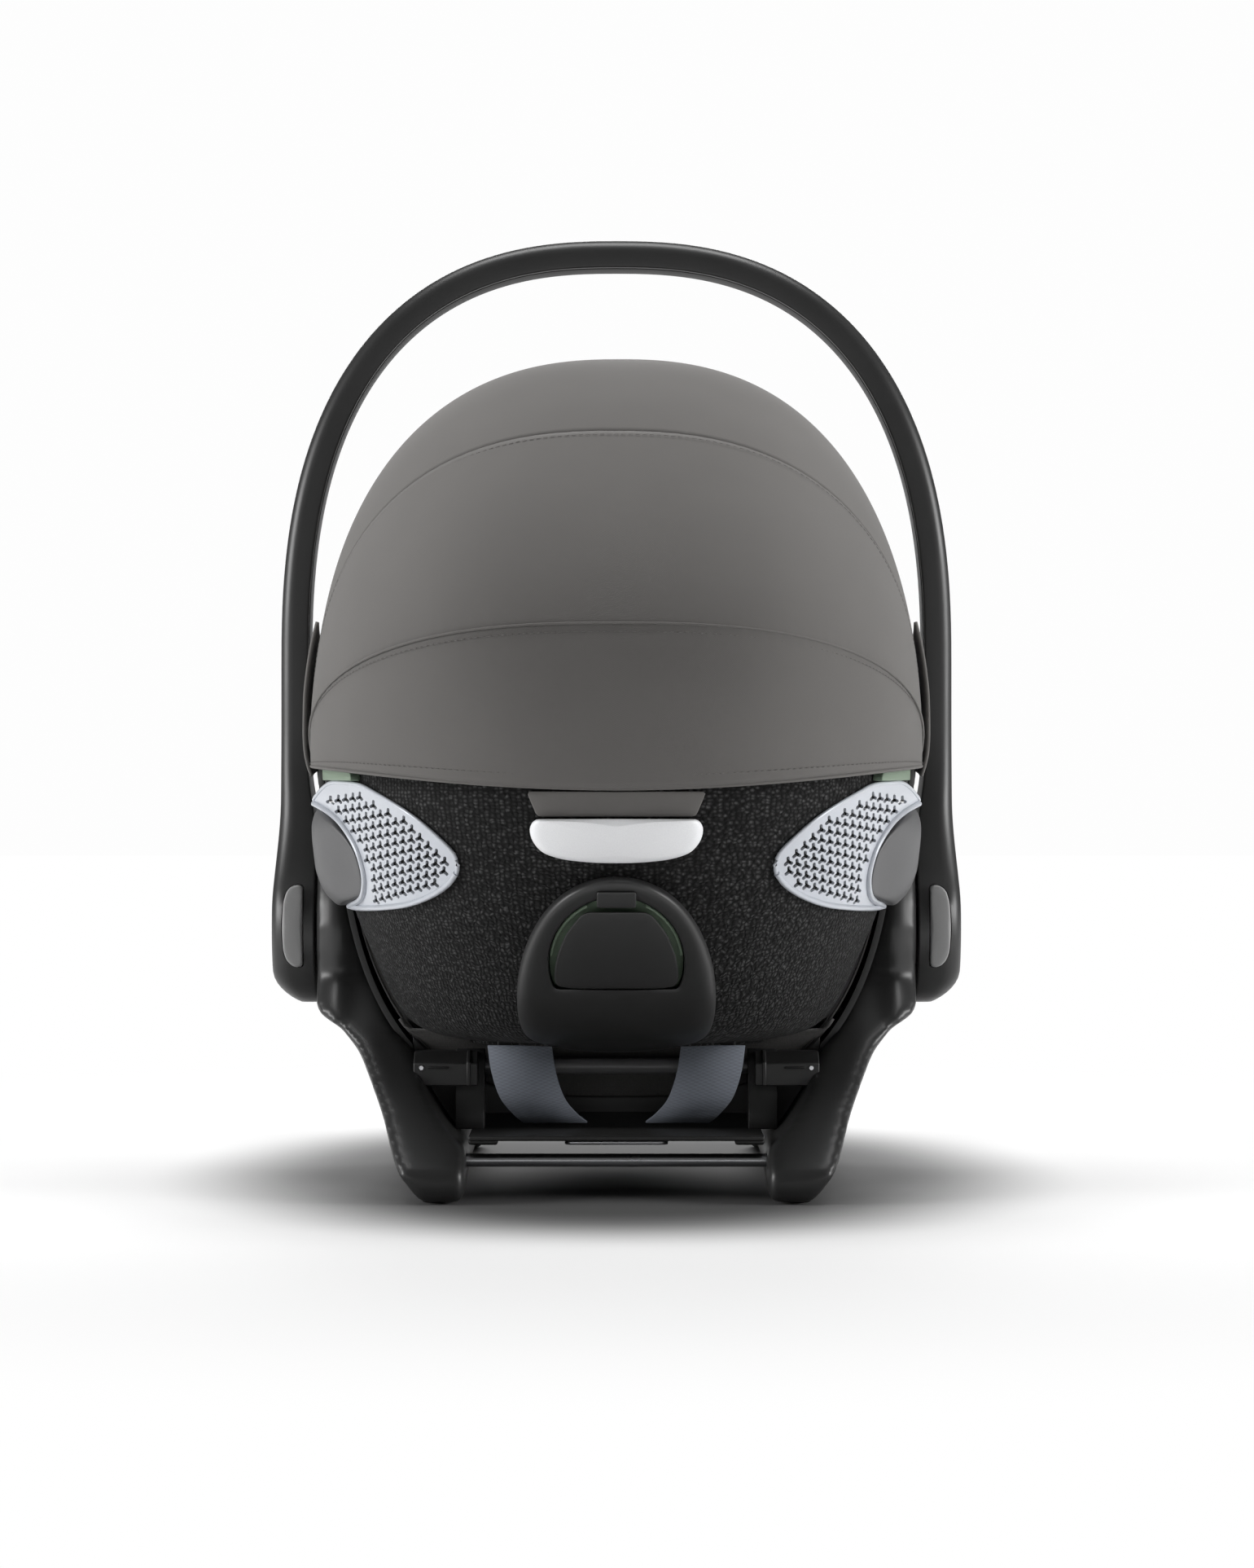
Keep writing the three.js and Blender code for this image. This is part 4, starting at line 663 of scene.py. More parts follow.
def loop_knit_group():
    """Curly loops in rows over the cloth's UV map, with painted highlights on the tops of the loops and
    painted shade in the hollows between them.
    """
    group, start, end = new_group("Loop Knit", {"Loop Size": 0.0025, "Depth": 0.0007, "Contrast": 1.0})
    place = add_node(group, "TexCoord").outputs
    wander = add_node(group, "TexNoise", {"Vector": place["UV"], "Scale": 190.0, "Detail": 1.0})
    # The loops stray further from their rows towards the cover's foot
    height = add_node(group, "SeparateXYZ", {0: place["UV"]}).outputs[1]
    ragged = add_node(group, "MapRange", {
        "Value": height, "From Min": 0.26, "From Max": 0.14, "To Min": 0.0012, "To Max": 0.0052})
    bend = add_node(
        group, "VectorMath", {0: wander.outputs["Color"], "Scale": ragged.outputs["Result"]},
        operation="SCALE")
    moved = add_node(group, "VectorMath", {0: place["UV"], 1: bend.outputs[0]}, operation="ADD")
    stretch = add_node(group, "Mapping", {"Vector": moved.outputs[0], "Scale": (0.72, 1.08, 1.0)})
    scale = math_node(group, "DIVIDE", 1.0, start.outputs["Loop Size"])
    cell = add_node(
        group, "TexVoronoi", {"Vector": stretch.outputs[0], "Scale": scale, "Randomness": 0.62},
        voronoi_dimensions="2D")
    hollow = math_node(group, "MULTIPLY", cell.outputs["Distance"], 1.7)
    height = math_node(group, "SUBTRACT", 1.0, hollow, clamped=True)
    fuzz = noise(group, place["Object"], 900.0, 2.0, 0.7)
    relief = math_node(group, "ADD", height, math_node(group, "MULTIPLY", fuzz, 0.3))
    tint = add_node(group, "SeparateColor", {0: cell.outputs["Color"]})
    # Painted highlights on the loops' tops, stronger on some loops at random, over a base painted darker as
    # shade in the hollows
    chance = math_node(group, "POWER", tint.outputs[0], 1.6)
    lit = math_node(group, "MULTIPLY", math_node(group, "POWER", height, 1.5), chance)
    painted_loop_highlight = math_node(group, "MULTIPLY", lit, math_node(group, "MULTIPLY", fuzz, 9.0))
    value = math_node(group, "MULTIPLY_ADD", painted_loop_highlight, start.outputs["Contrast"], 0.34)
    rough = math_node(group, "MULTIPLY_ADD", fuzz, 0.1, 0.85)
    normal = bump(group, relief, 0.8, start.outputs["Depth"])
    return close_group(group, end, toned(group, start.outputs["Colour"], value), rough, normal)


def jersey_group():
    """Fine brushed jersey of the cushions, on object coordinates."""
    group, start, end = new_group("Brushed Jersey", {"Rib": 0.0012, "Depth": 0.0002, "Contrast": 0.35})
    place = add_node(group, "TexCoord").outputs["Object"]
    scale = math_node(group, "DIVIDE", 1.0, start.outputs["Rib"])
    cell = add_node(group, "TexVoronoi", {"Vector": place, "Scale": scale, "Randomness": 0.55})
    fuzz = noise(group, place, 900.0, 3.0, 0.7)
    broad = noise(group, place, 18.0, 2.0)
    height = math_node(group, "SUBTRACT", 1.0, cell.outputs["Distance"])
    relief = math_node(group, "ADD", height, math_node(group, "MULTIPLY", fuzz, 0.5))
    tone = math_node(group, "SUBTRACT", math_node(group, "ADD", relief, broad), 1.35)
    value = math_node(group, "ADD", math_node(group, "MULTIPLY", tone, start.outputs["Contrast"]), 1.0)
    rough = math_node(group, "MULTIPLY_ADD", fuzz, 0.12, 0.82)
    normal = bump(group, relief, 0.6, start.outputs["Depth"])
    return close_group(group, end, toned(group, start.outputs["Colour"], value), rough, normal)


def finish_material(name, pattern, colour, values, metallic=0.0, coat=0.0, sheen=0.0, specular=0.5):
    """Material of one finish: a shared group that feeds its own Principled shader."""
    material = bpy.data.materials.new(name)
    material.use_nodes = True
    tree = material.node_tree
    shader = tree.nodes["Principled BSDF"]
    group = add_node(tree, "Group", {"Colour": (*colour, 1.0), **values}, node_tree=pattern)
    for label, value in (
        ("Base Color", group.outputs["Colour"]), ("Roughness", group.outputs["Roughness"]),
        ("Normal", group.outputs["Normal"]), ("Metallic", metallic), ("Specular IOR Level", specular),
    ):
        feed(tree, shader.inputs[label], value)
    for label, weight, roughness in (("Coat", coat, 0.25), ("Sheen", sheen, 0.5)):
        if weight:
            shader.inputs[f"{label} Weight"].default_value = weight
            shader.inputs[f"{label} Roughness"].default_value = roughness
    MATERIALS[name] = material


def make_materials(colours):
    grain, cloth, knit, jersey = moulded_grain_group(), woven_cloth_group(), loop_knit_group(), jersey_group()
    for name, colour, roughness, specular in (
        ("Frame Plastic", colours.frame_plastic, 0.38, 0.5), ("Grip", colours.grip, 0.6, 0.5),
        ("Black Plastic", colours.black_plastic, 0.5, 0.5),
        ("Guide Plastic", colours.guide_plastic, 0.46, 0.5),
        ("Grey Plastic", colours.grey_plastic, 0.48, 0.5), ("Button Plastic", colours.button, 0.45, 0.5),
        ("Side Pad", colours.side_pad, 0.5, 0.5), ("Green Plastic", colours.green, 0.48, 0.5),
        ("Painted Tube", colours.painted_tube, 0.3, 0.5), ("Rubber", colours.rubber, 0.8, 0.3),
    ):
        values = {"Grain Size": 0.0007, "Depth": 0.00004, "Roughness": roughness}
        finish_material(name, grain, colour, values, specular=specular)
    for name, colour, size, roughness, metallic, coat in (
        # The lever's silver is a lit copy of the wings' silver, painted brighter in place of light
        ("Silver Paint", colours.silver, 0.0004, 0.33, 0.12, 0.2),
        ("Lever Brightened Silver", colours.lever_brightened_silver, 0.0007, 0.34, 0.0, 0.1),
        ("Drawn Steel", colours.steel, 0.0006, 0.26, 1.0, 0.0),
    ):
        values = {"Grain Size": size, "Depth": 0.00001, "Roughness": roughness}
        finish_material(name, grain, colour, values, metallic, coat)
    finish_material(
        "Canopy Fabric", cloth, colours.canopy,
        {"Thread": 0.0006, "Depth": 0.00006, "Contrast": 0.16}, sheen=0.08, specular=0.2)
    finish_material(
        "Webbing", cloth, colours.webbing,
        {"Thread": 0.0011, "Depth": 0.0002, "Contrast": 0.5}, specular=0.3)
    # The knit's Contrast sets the strength of its painted loop highlights
    finish_material(
        "Loop Knit", knit, colours.knit,
        {"Loop Size": 0.0024, "Depth": 0.0009, "Contrast": 1.0}, sheen=0.06, specular=0.15)
    finish_material(
        "Cushion Jersey", jersey, colours.cushion,
        {"Rib": 0.0012, "Depth": 0.00015, "Contrast": 0.3}, sheen=0.15, specular=0.2)


# Canopy

def hem_angle(t):
    """Angle of the canopy's lower edge, which rises towards its sides."""
    return HEM + 2.6 * (abs(math.cos(t)) ** (2 / 2.6)) ** 1.8


def canopy_ruck(theta, t):
    """Inward pull of the fabric in millimetres: slack between bows and puckers beside seams."""
    across = t / math.pi
    pucker = 0.0
    for seam, depth in ((REAR_SEAM, 0.24), (MID_SEAM, 0.08)):
        near = math.exp(-((theta - seam) / 1.6) ** 2)
        pucker += near * depth * math.sin(across * 380)
    slack = 0.7 * math.sin(across * 9.4 + theta * 0.09) * math.sin(across * math.pi)
    return pucker + slack


def canopy_sheet(low, high, rows, width, length):
    """Sheet of the canopy's fabric between two angles about its pivot."""
    def place(u, v):
        t = lerp(0.012, math.pi - 0.012, u)
        theta = lerp(hem_angle(t) if low == HEM else low, high, v)
        return hood_point(theta, t, 0.3 + canopy_ruck(theta, t))

    return surface(150, rows, place, (width, length), (0, HOOD_Y + 40, HOOD_Z))


def canopy_seam(theta, radius, lift):
    """Bead across the canopy along a seam or edge."""
    path = []
    for i in range(121):
        t = lerp(0.02, math.pi - 0.02, i / 120)
        path.append(hood_point(hem_angle(t) if theta == HEM else theta, t, -lift))
    return tube(path, radius)


def seam_stitches(theta, pitch, inset, radius=0.24):
    line = []
    for i in range(201):
        t = lerp(0.03, math.pi - 0.03, i / 200)
        line.append(hood_point(hem_angle(t) + theta - HEM if theta < 0 else theta, t, inset))
    total = length_of(line)
    return stitches(spread(line, int(total / pitch)), radius, pitch * 0.62)


class CARRIER_OT_canopy(bpy.types.Operator):
    """Fabric canopy: two continuous sheets with piped seams, a hem and its bows"""
    bl_idname = "carrier.canopy"
    bl_label = "Canopy"

    def execute(self, context):
        sizes = context.scene.carrier_sizes
        fabric = MATERIALS["Canopy Fabric"]
        piping = sizes.piping_radius / MM
        pitch = sizes.stitch_pitch / MM
        # The canopy's mean reach from its pivot and its width laid flat, in metres
        reach, width = 0.275, 0.78
        for name, low, high, rows, replaced, bodies, knee in (
            ("canopy_back_fabric", HEM, MID_SEAM, 60, ("canopy_rear_panel", "canopy_mid_panel"),
             ("backrest", "canopy_mid"), (REAR_SEAM, MID_SEAM)),
            ("canopy_top_fabric", MID_SEAM, FRONT_EDGE, 80, ("canopy_top_panel",),
             ("canopy_mid", "canopy_front"), (MID_SEAM, FRONT_EDGE)),
        ):
            length = math.radians(high - low) * reach
            bm = canopy_sheet(low, high, rows, width, length)
            area = area_of(bm)
            obj = piece(name, bm, None, fabric, replaced, 0)
            thicken(obj, sizes.canopy_thickness)
            start = metres(hood_point(knee[0], math.pi / 2))
            end = metres(hood_point(knee[1], math.pi / 2))
            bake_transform(obj)
        seam = canopy_seam(REAR_SEAM, piping, 0.2)
        absorb(seam, seam_stitches(REAR_SEAM - 1.0, pitch, -0.12, 0.2))
        piece("canopy_rear_piping", seam, "backrest", fabric, (), 0)
        hem = canopy_seam(HEM, 1.0, -0.7)
        absorb(hem, seam_stitches(HEM + 1.6, pitch, -0.12, 0.2))
        piece("canopy_hem", hem, "backrest", fabric, (), 0)
        ridge = seam_stitches(MID_SEAM - 0.9, pitch, 0.02, 0.18)
        piece("canopy_mid_stitching", ridge, "canopy_mid", fabric, (), 0)
        edge = canopy_seam(FRONT_EDGE, 2.2, -0.6)
        absorb(edge, seam_stitches(FRONT_EDGE - 2.2, pitch, -0.25))
        piece("canopy_front_binding", edge, "canopy_front", fabric, (), 0)
        self.side_flaps(fabric)
        for node, body in (("canopy_mid_bow", "canopy_mid"), ("canopy_front_bow", "canopy_front")):
            rounded_node(node, body, MATERIALS["Grey Plastic"], 0.0005)
        return {"FINISHED"}

    def side_flaps(self, fabric):
        """Flared side flaps that stand off the canopy behind the handle's arms."""
        edge = [
            (189.8, 356), (192.8, 343), (195.2, 328), (197.0, 311), (197.5, 292), (197.5, 282), (196.9, 273),
            (195.4, 265), (193.4, 258.5)]
        line = spread([(x, -72 - 6 * math.sin(k * 0.39), z) for k, (x, z) in enumerate(edge)], 40)

        def place(u, v):
            free = line[round(v * 40)]
            root = Vector((192.2 - 2.4 * (1 - v) ** 2, -36, lerp(340, 262, v)))
            bow = math.sin(math.pi * u) * 0.7
            return root.lerp(free, u) + Vector((bow, 0, 0))

        bm = surface(16, 40, place, (0.05, 0.1), (0, HOOD_Y, HOOD_Z))
        area = area_of(bm)
        for obj in pair("canopy_side_flap", bm, ("canopy_mid",) * 2, fabric, None, 0):
            thicken(obj, 0.0012)
        bead = tube(line, 1.25)
        pair("canopy_flap_hem", bead, ("canopy_mid",) * 2, fabric, None, 0)


# Back of the shell

def under_guide(point):
    """True well inside the belt guide's outline, at the back of the shell."""
    x, z = abs(point.x) / MM, point.z / MM
    if point.y >= -0.12:
        return False
    if z < 135:
        return x < 53 and z > 95
    return (x / 53) ** 2.3 + ((z - 135) / 58) ** 2.3 < 1


class CARRIER_OT_back_cover(bpy.types.Operator):
    """Loop-knit cover over the back shell with a bound and stitched hem"""
    bl_idname = "carrier.back_cover"
    bl_label = "Back Cover"

    def execute(self, context):
        knit = MATERIALS["Loop Knit"]
        lift, foot, top, hem_height = 1.2, 92.0, 296.0, 92.4

        def level(v):
            z = lerp(foot, top, v ** 1.25)
            return z, front_angle(z, SHELL_FRONT, lift)

        def place(u, v):
            z, start = level(v)
            angle = lerp(start, math.pi - start, u)
            return on_shell(angle, z, lift + 1.6 * min(1.0, (z - foot) / 6) ** 0.5)

        # Lengths round the shell at each degree lay the knit's pattern out evenly
        reach = [(0.0, 0.0)]
        for i in range(1, 181):
            a, b = (Vector(on_shell(math.radians(k), 200, lift)) for k in (i - 1, i))
            reach.append((float(i), reach[-1][1] + (b - a).length))

        def chart(u, v):
            z, start = level(v)
            turn = math.degrees(lerp(start, math.pi - start, u))
            return cubic(reach, turn) * MM, z * MM

        bm = surface(200, 110, place, outward=(0, -100, 180), chart=chart)
        hidden = [f for f in bm.faces if under_guide(f.calc_center_median())]
        bmesh.ops.delete(bm, geom=hidden, context="FACES")
        area = area_of(bm)
        obj = piece("knit_cover", bm, "backrest", knit, ("back_cover",), 0)
        thicken(obj, 0.0012)
        start = front_angle(hem_height, SHELL_FRONT, lift)
        angles = [lerp(start, math.pi - start, i / 160) for i in range(161)]
        line = [Vector(on_shell(angle, hem_height, lift + 0.6)) for angle in angles]
        hem = tube(line, 1.5)
        threads = [p + Vector((0, -2.6 if abs(p.x) < 90 else -1.2, 2.2)) for p in line]
        absorb(hem, stitches(spread(threads, 110), 0.3, 2.6))
        piece("knit_cover_hem", hem, "backrest", knit, (), 0)

        patch = plaque(
            polygon_outline([(-46, 234.5), (46, 234.5), (52, 249), (-52, 249)], 2.0),
            (0, 241.5), 2.9, 5.0, 0.9, 0.2, 96)
        piece("back_patch_fabric", patch, "backrest", MATERIALS["Canopy Fabric"],
              ("back_patch",), 0)
        return {"FINISHED"}


lever_outline = polygon_outline([
    (-50.6, 228), (-49.4, 221), (-44, 213.6), (-33, 209.6), (-16, 207.6), (0, 207.2), (16, 207.6),
    (33, 209.6), (44, 213.6), (49.4, 221), (50.6, 228), (47.5, 233), (0, 233.2), (-47.5, 233)], 9.0, 6)


class CARRIER_OT_release_lever(bpy.types.Operator):
    """Silver release lever with a bowed lower edge and a soft crown"""
    bl_idname = "carrier.release_lever"
    bl_label = "Release Lever"

    def execute(self, context):
        bm = plaque(lever_outline, (0, 221), 6.0, 12.4, 4.2, 2.8, 128, 20)
        foot_outline = polygon_outline([(-34, 213), (34, 213), (34, 226), (-34, 226)], 2.0)
        absorb(bm, plaque(foot_outline, (0, 219), 3.1, 6.4, 0.5))
        piece("silver_lever", bm, "release_lever_body", MATERIALS["Lever Brightened Silver"],
              ("release_lever",), 60)
        return {"FINISHED"}


def mirrored(foot, side, top, radius):
    """Outline that is the same on both sides, from its foot's middle round by its right side."""
    return polygon_outline([foot, *side, top, *((-x, z) for x, z in reversed(side))], radius)


guide_outline = mirrored(
    (0, 86.5),
    [(24, 87.6), (44, 91), (55, 97), (59.4, 108), (60.3, 122), (59, 140), (54, 158), (46, 174), (34, 188),
     (18, 197)],
    (0, 200.2), 12.0)
flap_outline = mirrored(
    (0, 131.5),
    [(28, 131.5), (36.4, 133.4), (37, 140), (35.4, 151), (30, 165), (21, 176.4), (17, 178.5)],
    (0, 178.5), 4.0)
# Height of the mouth's centre
MOUTH_HEIGHT = 147


def mouth_outline(margin):
    """Round mouth of the guide with a level floor, smaller by a margin."""
    radius = 40.5 - margin
    floor = 131.0 + margin
    start = math.asin((floor - MOUTH_HEIGHT) / radius)
    angles = [lerp(start, math.pi - start, i / 24) for i in range(25)]
    return polygon_outline([(radius * math.cos(a), MOUTH_HEIGHT + radius * math.sin(a)) for a in angles], 4.0)


def ray_ring(outline, centre, columns):
    """Outline points at even angles about a centre."""
    dense = [outline(i / 720) for i in range(720)]
    found = []
    for k in range(columns):
        a = 2 * math.pi * k / columns - math.pi
        best = min(dense, key=lambda p: abs(
            (math.atan2(p[1] - centre[1], p[0] - centre[0]) - a + math.pi) % (2 * math.pi) - math.pi))
        found.append(best)
    return found


class CARRIER_OT_belt_guide(bpy.types.Operator):
    """Belt guide: arched housing with a round mouth, green liner, hinged flap and tab"""
    bl_idname = "carrier.belt_guide"
    bl_label = "Belt Guide"

    def execute(self, context):
        centre = (0, 146)
        columns = 160
        outer = ray_ring(guide_outline, centre, columns)
        mouth = ray_ring(mouth_outline(0.0), centre, columns)
        # Shares of the way from the mouth to the outline, and heights over the shell
        rows = [
            (0.0, 2.2), (0.0, 10.0), (0.0, 15.4), (0.012, 16.6), (0.05, 17.4), (0.16, 18.0), (0.34, 18.6),
            (0.52, 18.8), (0.68, 18.2), (0.80, 16.6), (0.89, 14.0), (0.955, 10.2), (0.99, 6.0), (1.0, 2.0),
            (1.0, 0.4), (0.5, 0.4), (0.0, 0.4), (0.0, 2.2)]

        def place(u, v):
            k = round(u * columns) % columns
            share, lift = rows[round(v * (len(rows) - 1))]
            (mx, mz), (ox, oz) = mouth[k], outer[k]
            return behind(lerp(mx, ox, share), lerp(mz, oz, share), lift)

        bm = surface(columns, len(rows) - 1, place, outward=(0, -230, 150))
        bmesh.ops.smooth_vert(
            bm, verts=bm.verts[:], factor=0.3, use_axis_x=True, use_axis_y=True, use_axis_z=True)
        turn_out(bm)
        guide = MATERIALS["Guide Plastic"]
        piece("belt_guide_arch", bm, "backrest", guide, ("belt_guide_housing",), 50)
        liner = plaque(mouth_outline(0.5), (0, 150), 2.0, 4.0, 0.6, 0.0, 96)
        absorb(liner, self.liner_lip())
        piece("belt_guide_green_liner", liner, "backrest", MATERIALS["Green Plastic"],
              ("belt_guide_liner",), 50)
        flap = plaque(flap_outline, (0, 152), 14.4, 17.6, 1.2, 0.9, 120, 6)
        piece("belt_flap_cover", flap, "belt_flap_body", guide, ("belt_flap",), 50)
        tab = plaque(
            polygon_outline([(-11.5, 181), (11.5, 181), (11.5, 190.5), (-11.5, 190.5)], 1.6),
            (0, 185.8), 15.6, 20.4, 0.9, 0.3, 64)
        piece("belt_tab_cover", tab, "belt_tab_body", guide, ("belt_tab",), 50)
        return {"FINISHED"}

    def liner_lip(self):
        """Lip of the liner that shows beside the flap's shoulders."""
        lip = bmesh.new()
        radius = 38.9
        for side in (1, -1):
            line = []
            for i in range(25):
                a = math.radians(lerp(8, 64, i / 24))
                line.append(behind(side * radius * math.cos(a), MOUTH_HEIGHT + radius * math.sin(a), 9.0))
            absorb(lip, tube(line, 1.1))
        return lip


# Perforated wings and side pads

# Millimetres round the shell for a degree, in the outlines of the side pad and the belt hook
DEGREE = 2.7
# Wing and side pad on the shell: angles round it and heights
WING_EDGE = (
    (62.4, 205.5), (61.9, 200.6), (59.6, 193.9), (54.8, 186.9), (47.8, 181.4), (39.5, 178.7), (30.3, 177.2),
    (22, 176.6), (17, 176.8),
    (20.5, 178.6), (25.5, 180.8), (28.8, 184), (30.9, 188.8), (32.1, 195), (32.2, 202.2), (30.9, 212.2),
    (27.9, 222.1), (24, 230.4), (19.5, 236), (15.5, 239.5), (13.4, 241),
    (13.2, 243.4), (15.4, 247.0), (18.4, 251.2), (22.0, 254.0),
    (28, 254), (35.2, 252.5), (40.6, 248.3), (49.3, 238.6), (54.3, 230.6), (59.3, 219.3), (61.7, 212),
)
WING_TIP = WING_EDGE[0][0]
WING_FOOT = WING_EDGE[1:9]
WING_RIM = WING_EDGE[8:21]
PAD_EDGE = (
    (15.0, 238.0), (18.8, 235.4), (22.9, 229.6), (26.7, 221), (29.5, 211.5), (30.8, 202), (30.8, 195.4),
    (30.2, 189.4), (28.6, 185.2), (24.5, 182.2), (19.4, 179.6), (14.8, 177.0), (12.4, 181.6), (11.0, 190),
    (10.4, 203), (10.2, 218), (10.8, 230), (12.4, 236.2),
)
# Stand-off of the side pad's front edge at heights
PAD_LIFT = ((170, 11), (177, 13), (185, 17.6), (196, 20), (203, 20.4), (226, 19), (239, 15), (250, 12))


def wing_lift(angle, z):
    """Stand-off of the wing: close to the shell at its tip, proud at its upper front corner."""
    flare = clamp((36 - angle) / 23) ** 2
    return 4.6 + flare * lerp(1.6, 12.0, soft((z - 205) / 42))


def wing_place(angle, z, lift=0.0):
    return on_shell(math.radians(angle), z, wing_lift(angle, z) + lift)


def wing_chart():
    """Angles round the shell and how far each lies from the wing's tip in the pattern of holes."""
    table = [(WING_TIP, 0.0)]
    while table[-1][0] > 12.5:
        angle = table[-1][0] - 0.7
        a, b = Vector(wing_place(table[-1][0], 215)), Vector(wing_place(angle, 215))
        step = (b - a).length
        turned = abs(b.x - a.x) / step / lerp(0.97, 0.74, clamp((WING_TIP - angle) / 34))
        table.append((angle, table[-1][1] + step * max(turned, 0.3)))
    return table


def inside_loop(x, z, loop):
    """True inside a closed loop, with the distance to its nearest edge."""
    inside, near = False, 1e9
    for (x0, z0), (x1, z1) in zip(loop, loop[1:] + loop[:1]):
        if (z0 > z) != (z1 > z) and x < x0 + (z - z0) / (z1 - z0) * (x1 - x0):
            inside = not inside
        dx, dz = x1 - x0, z1 - z0
        t = clamp(((x - x0) * dx + (z - z0) * dz) / max(dx * dx + dz * dz, 1e-9))
        near = min(near, math.hypot(x - x0 - t * dx, z - z0 - t * dz))
    return inside, near


def three_arms(x, z, size):
    """Outline of a three-armed hole with one arm up, which leans towards the wing's tip."""
    loop = []
    arm, width = 3.25 * size, 0.98 * size
    for k in range(3):
        way, gap = math.radians(100 + 120 * k), math.radians(160 + 120 * k)
        c, d = math.cos(way), math.sin(way)
        tip = ((arm * 0.82, -width), (arm, -width * 0.5), (arm, width * 0.5), (arm * 0.82, width))
        for along, across in tip:
            loop.append((x + along * c - across * d, z + along * d + across * c))
        loop.append((x + 1.2 * width * math.cos(gap), z + 1.2 * width * math.sin(gap)))
    return loop


def loop_edges(bm, points):
    verts = [bm.verts.new((x, z, 0)) for x, z in points]
    edges = [bm.edges.new((a, b)) for a, b in zip(verts, verts[1:] + verts[:1])]
    return verts, edges


def wing_plate(pitch):
    """Leaf-shaped plate with rows of three-armed holes, laid flat and then bent over the shell."""
    chart = wing_chart()
    back = [(b, a) for a, b in chart]
    forward = [(a, b) for a, b in reversed(chart)]
    flat = [(cubic(forward, angle), z) for angle, z in WING_EDGE]
    smooth_edge = polygon_outline(flat, 2.2, 3)
    outline = [smooth_edge(i / 150) for i in range(150)]
    bm = bmesh.new()
    edges = loop_edges(bm, outline)[1]
    dimples = []
    middle = 42.0
    # Closest that a dimple and a whole hole lie to the plate's edge
    dimple_margin, hole_margin = 3.2, 4.3
    for row in range(-8, 10):
        slope = 0.19 - 0.014 * row
        for column in range(-1, 24):
            x = (column - 0.18 * row) * pitch
            z = 212 + row * pitch - slope * (x - middle)
            inside, near = inside_loop(x, z, outline)
            if not inside or near < dimple_margin:
                continue
            verts, loop = loop_edges(bm, three_arms(x, z, 0.66 if near < hole_margin else 1.0))
            edges += loop
            if near < hole_margin:
                dimples.append(verts)
    bmesh.ops.triangle_fill(bm, use_beauty=True, use_dissolve=False, edges=edges)
    for verts in dimples:
        bmesh.ops.extrude_discrete_faces(bm, faces=[bm.faces.new(verts)])
    # Cuts across and along let the flat plate bend
    for way, start, step, count in ((Vector((1, 0, 0)), 0, 4.0, 27), (Vector((0, 1, 0)), 174, 6.0, 13)):
        for k in range(1, count + 1):
            geom = bm.verts[:] + bm.edges[:] + bm.faces[:]
            bmesh.ops.bisect_plane(bm, geom=geom, dist=1e-4, plane_co=way * (start + k * step), plane_no=way)
    for vert in bm.verts:
        vert.co = metres(wing_place(cubic(back, vert.co.x), vert.co.y))
    bmesh.ops.remove_doubles(bm, verts=bm.verts[:], dist=1e-5)
    turn_out(bm, (0, -120, 215))
    return bm


def edge_line(points, lift, count, closed=False):
    line = [Vector(wing_place(angle, z, lift)) for angle, z in points]
    if closed:
        line.append(line[0])
    made = spread(line, count)
    return made[:-1] if closed else made


def pad_place(q, z, share):
    """Point of the side pad, which stands out more towards its front edge."""
    angle = q / DEGREE
    proud = lerp(6.4, cubic(PAD_LIFT, z), soft((31 - angle) / 16))
    return on_shell(math.radians(angle), z, lerp(3.8, proud, share))


def hook_place(q, z, lift):
    return on_shell(math.radians(q / DEGREE), z, lift)


class CARRIER_OT_wings(bpy.types.Operator):
    """Silver wings with three-armed holes, side pads and green belt hooks"""
    bl_idname = "carrier.wings"
    bl_label = "Perforated Wings"

    def execute(self, context):
        pitch = context.scene.carrier_sizes.hole_pitch / MM
        silver = MATERIALS["Silver Paint"]
        for obj in pair("wing_plate", wing_plate(pitch), ("backrest",) * 2, silver,
                        "vent_wing", 60):
            solidify(obj, 0.0017)
            finish_shape(obj, 45)
        bead = tube(edge_line(WING_EDGE, -0.2, 150, closed=True), 1.25, 10, closed=True)
        absorb(bead, tube(edge_line(WING_RIM, 0.8, 60), 1.7, 12))
        absorb(bead, tube(edge_line(WING_FOOT, 0.2, 50), 1.8, 12))
        pair("wing_rim", bead, ("backrest",) * 2, silver, None, 60)

        pad = plaque(
            polygon_outline([(a * DEGREE, z) for a, z in PAD_EDGE], 1.4), (20.5 * DEGREE, 208), 0.0, 1.0,
            1.9, 0.04, 120, 8, pad_place, 0.2)
        pair("side_pad", pad, ("impact_pad_right_body", "impact_pad_left_body"), MATERIALS["Side Pad"],
             "impact_pad", 60)

        corners = [(13.0, 255.6), (34.6, 255.2), (33.0, 269), (13.0, 269)]
        hooks = plaque(
            polygon_outline([(a * DEGREE, z) for a, z in corners], 1.6), (23 * DEGREE, 262.5), 3.2, 9.8, 1.0,
            0.0, 80, 6, hook_place)
        pair("belt_hook_cover", hooks, ("backrest",) * 2, MATERIALS["Green Plastic"],
             "belt_hook", 50)
        return {"FINISHED"}


# Shell, tub and frames

def shell_front(z):
    return cubic(SHELL_EAR, z, 1)


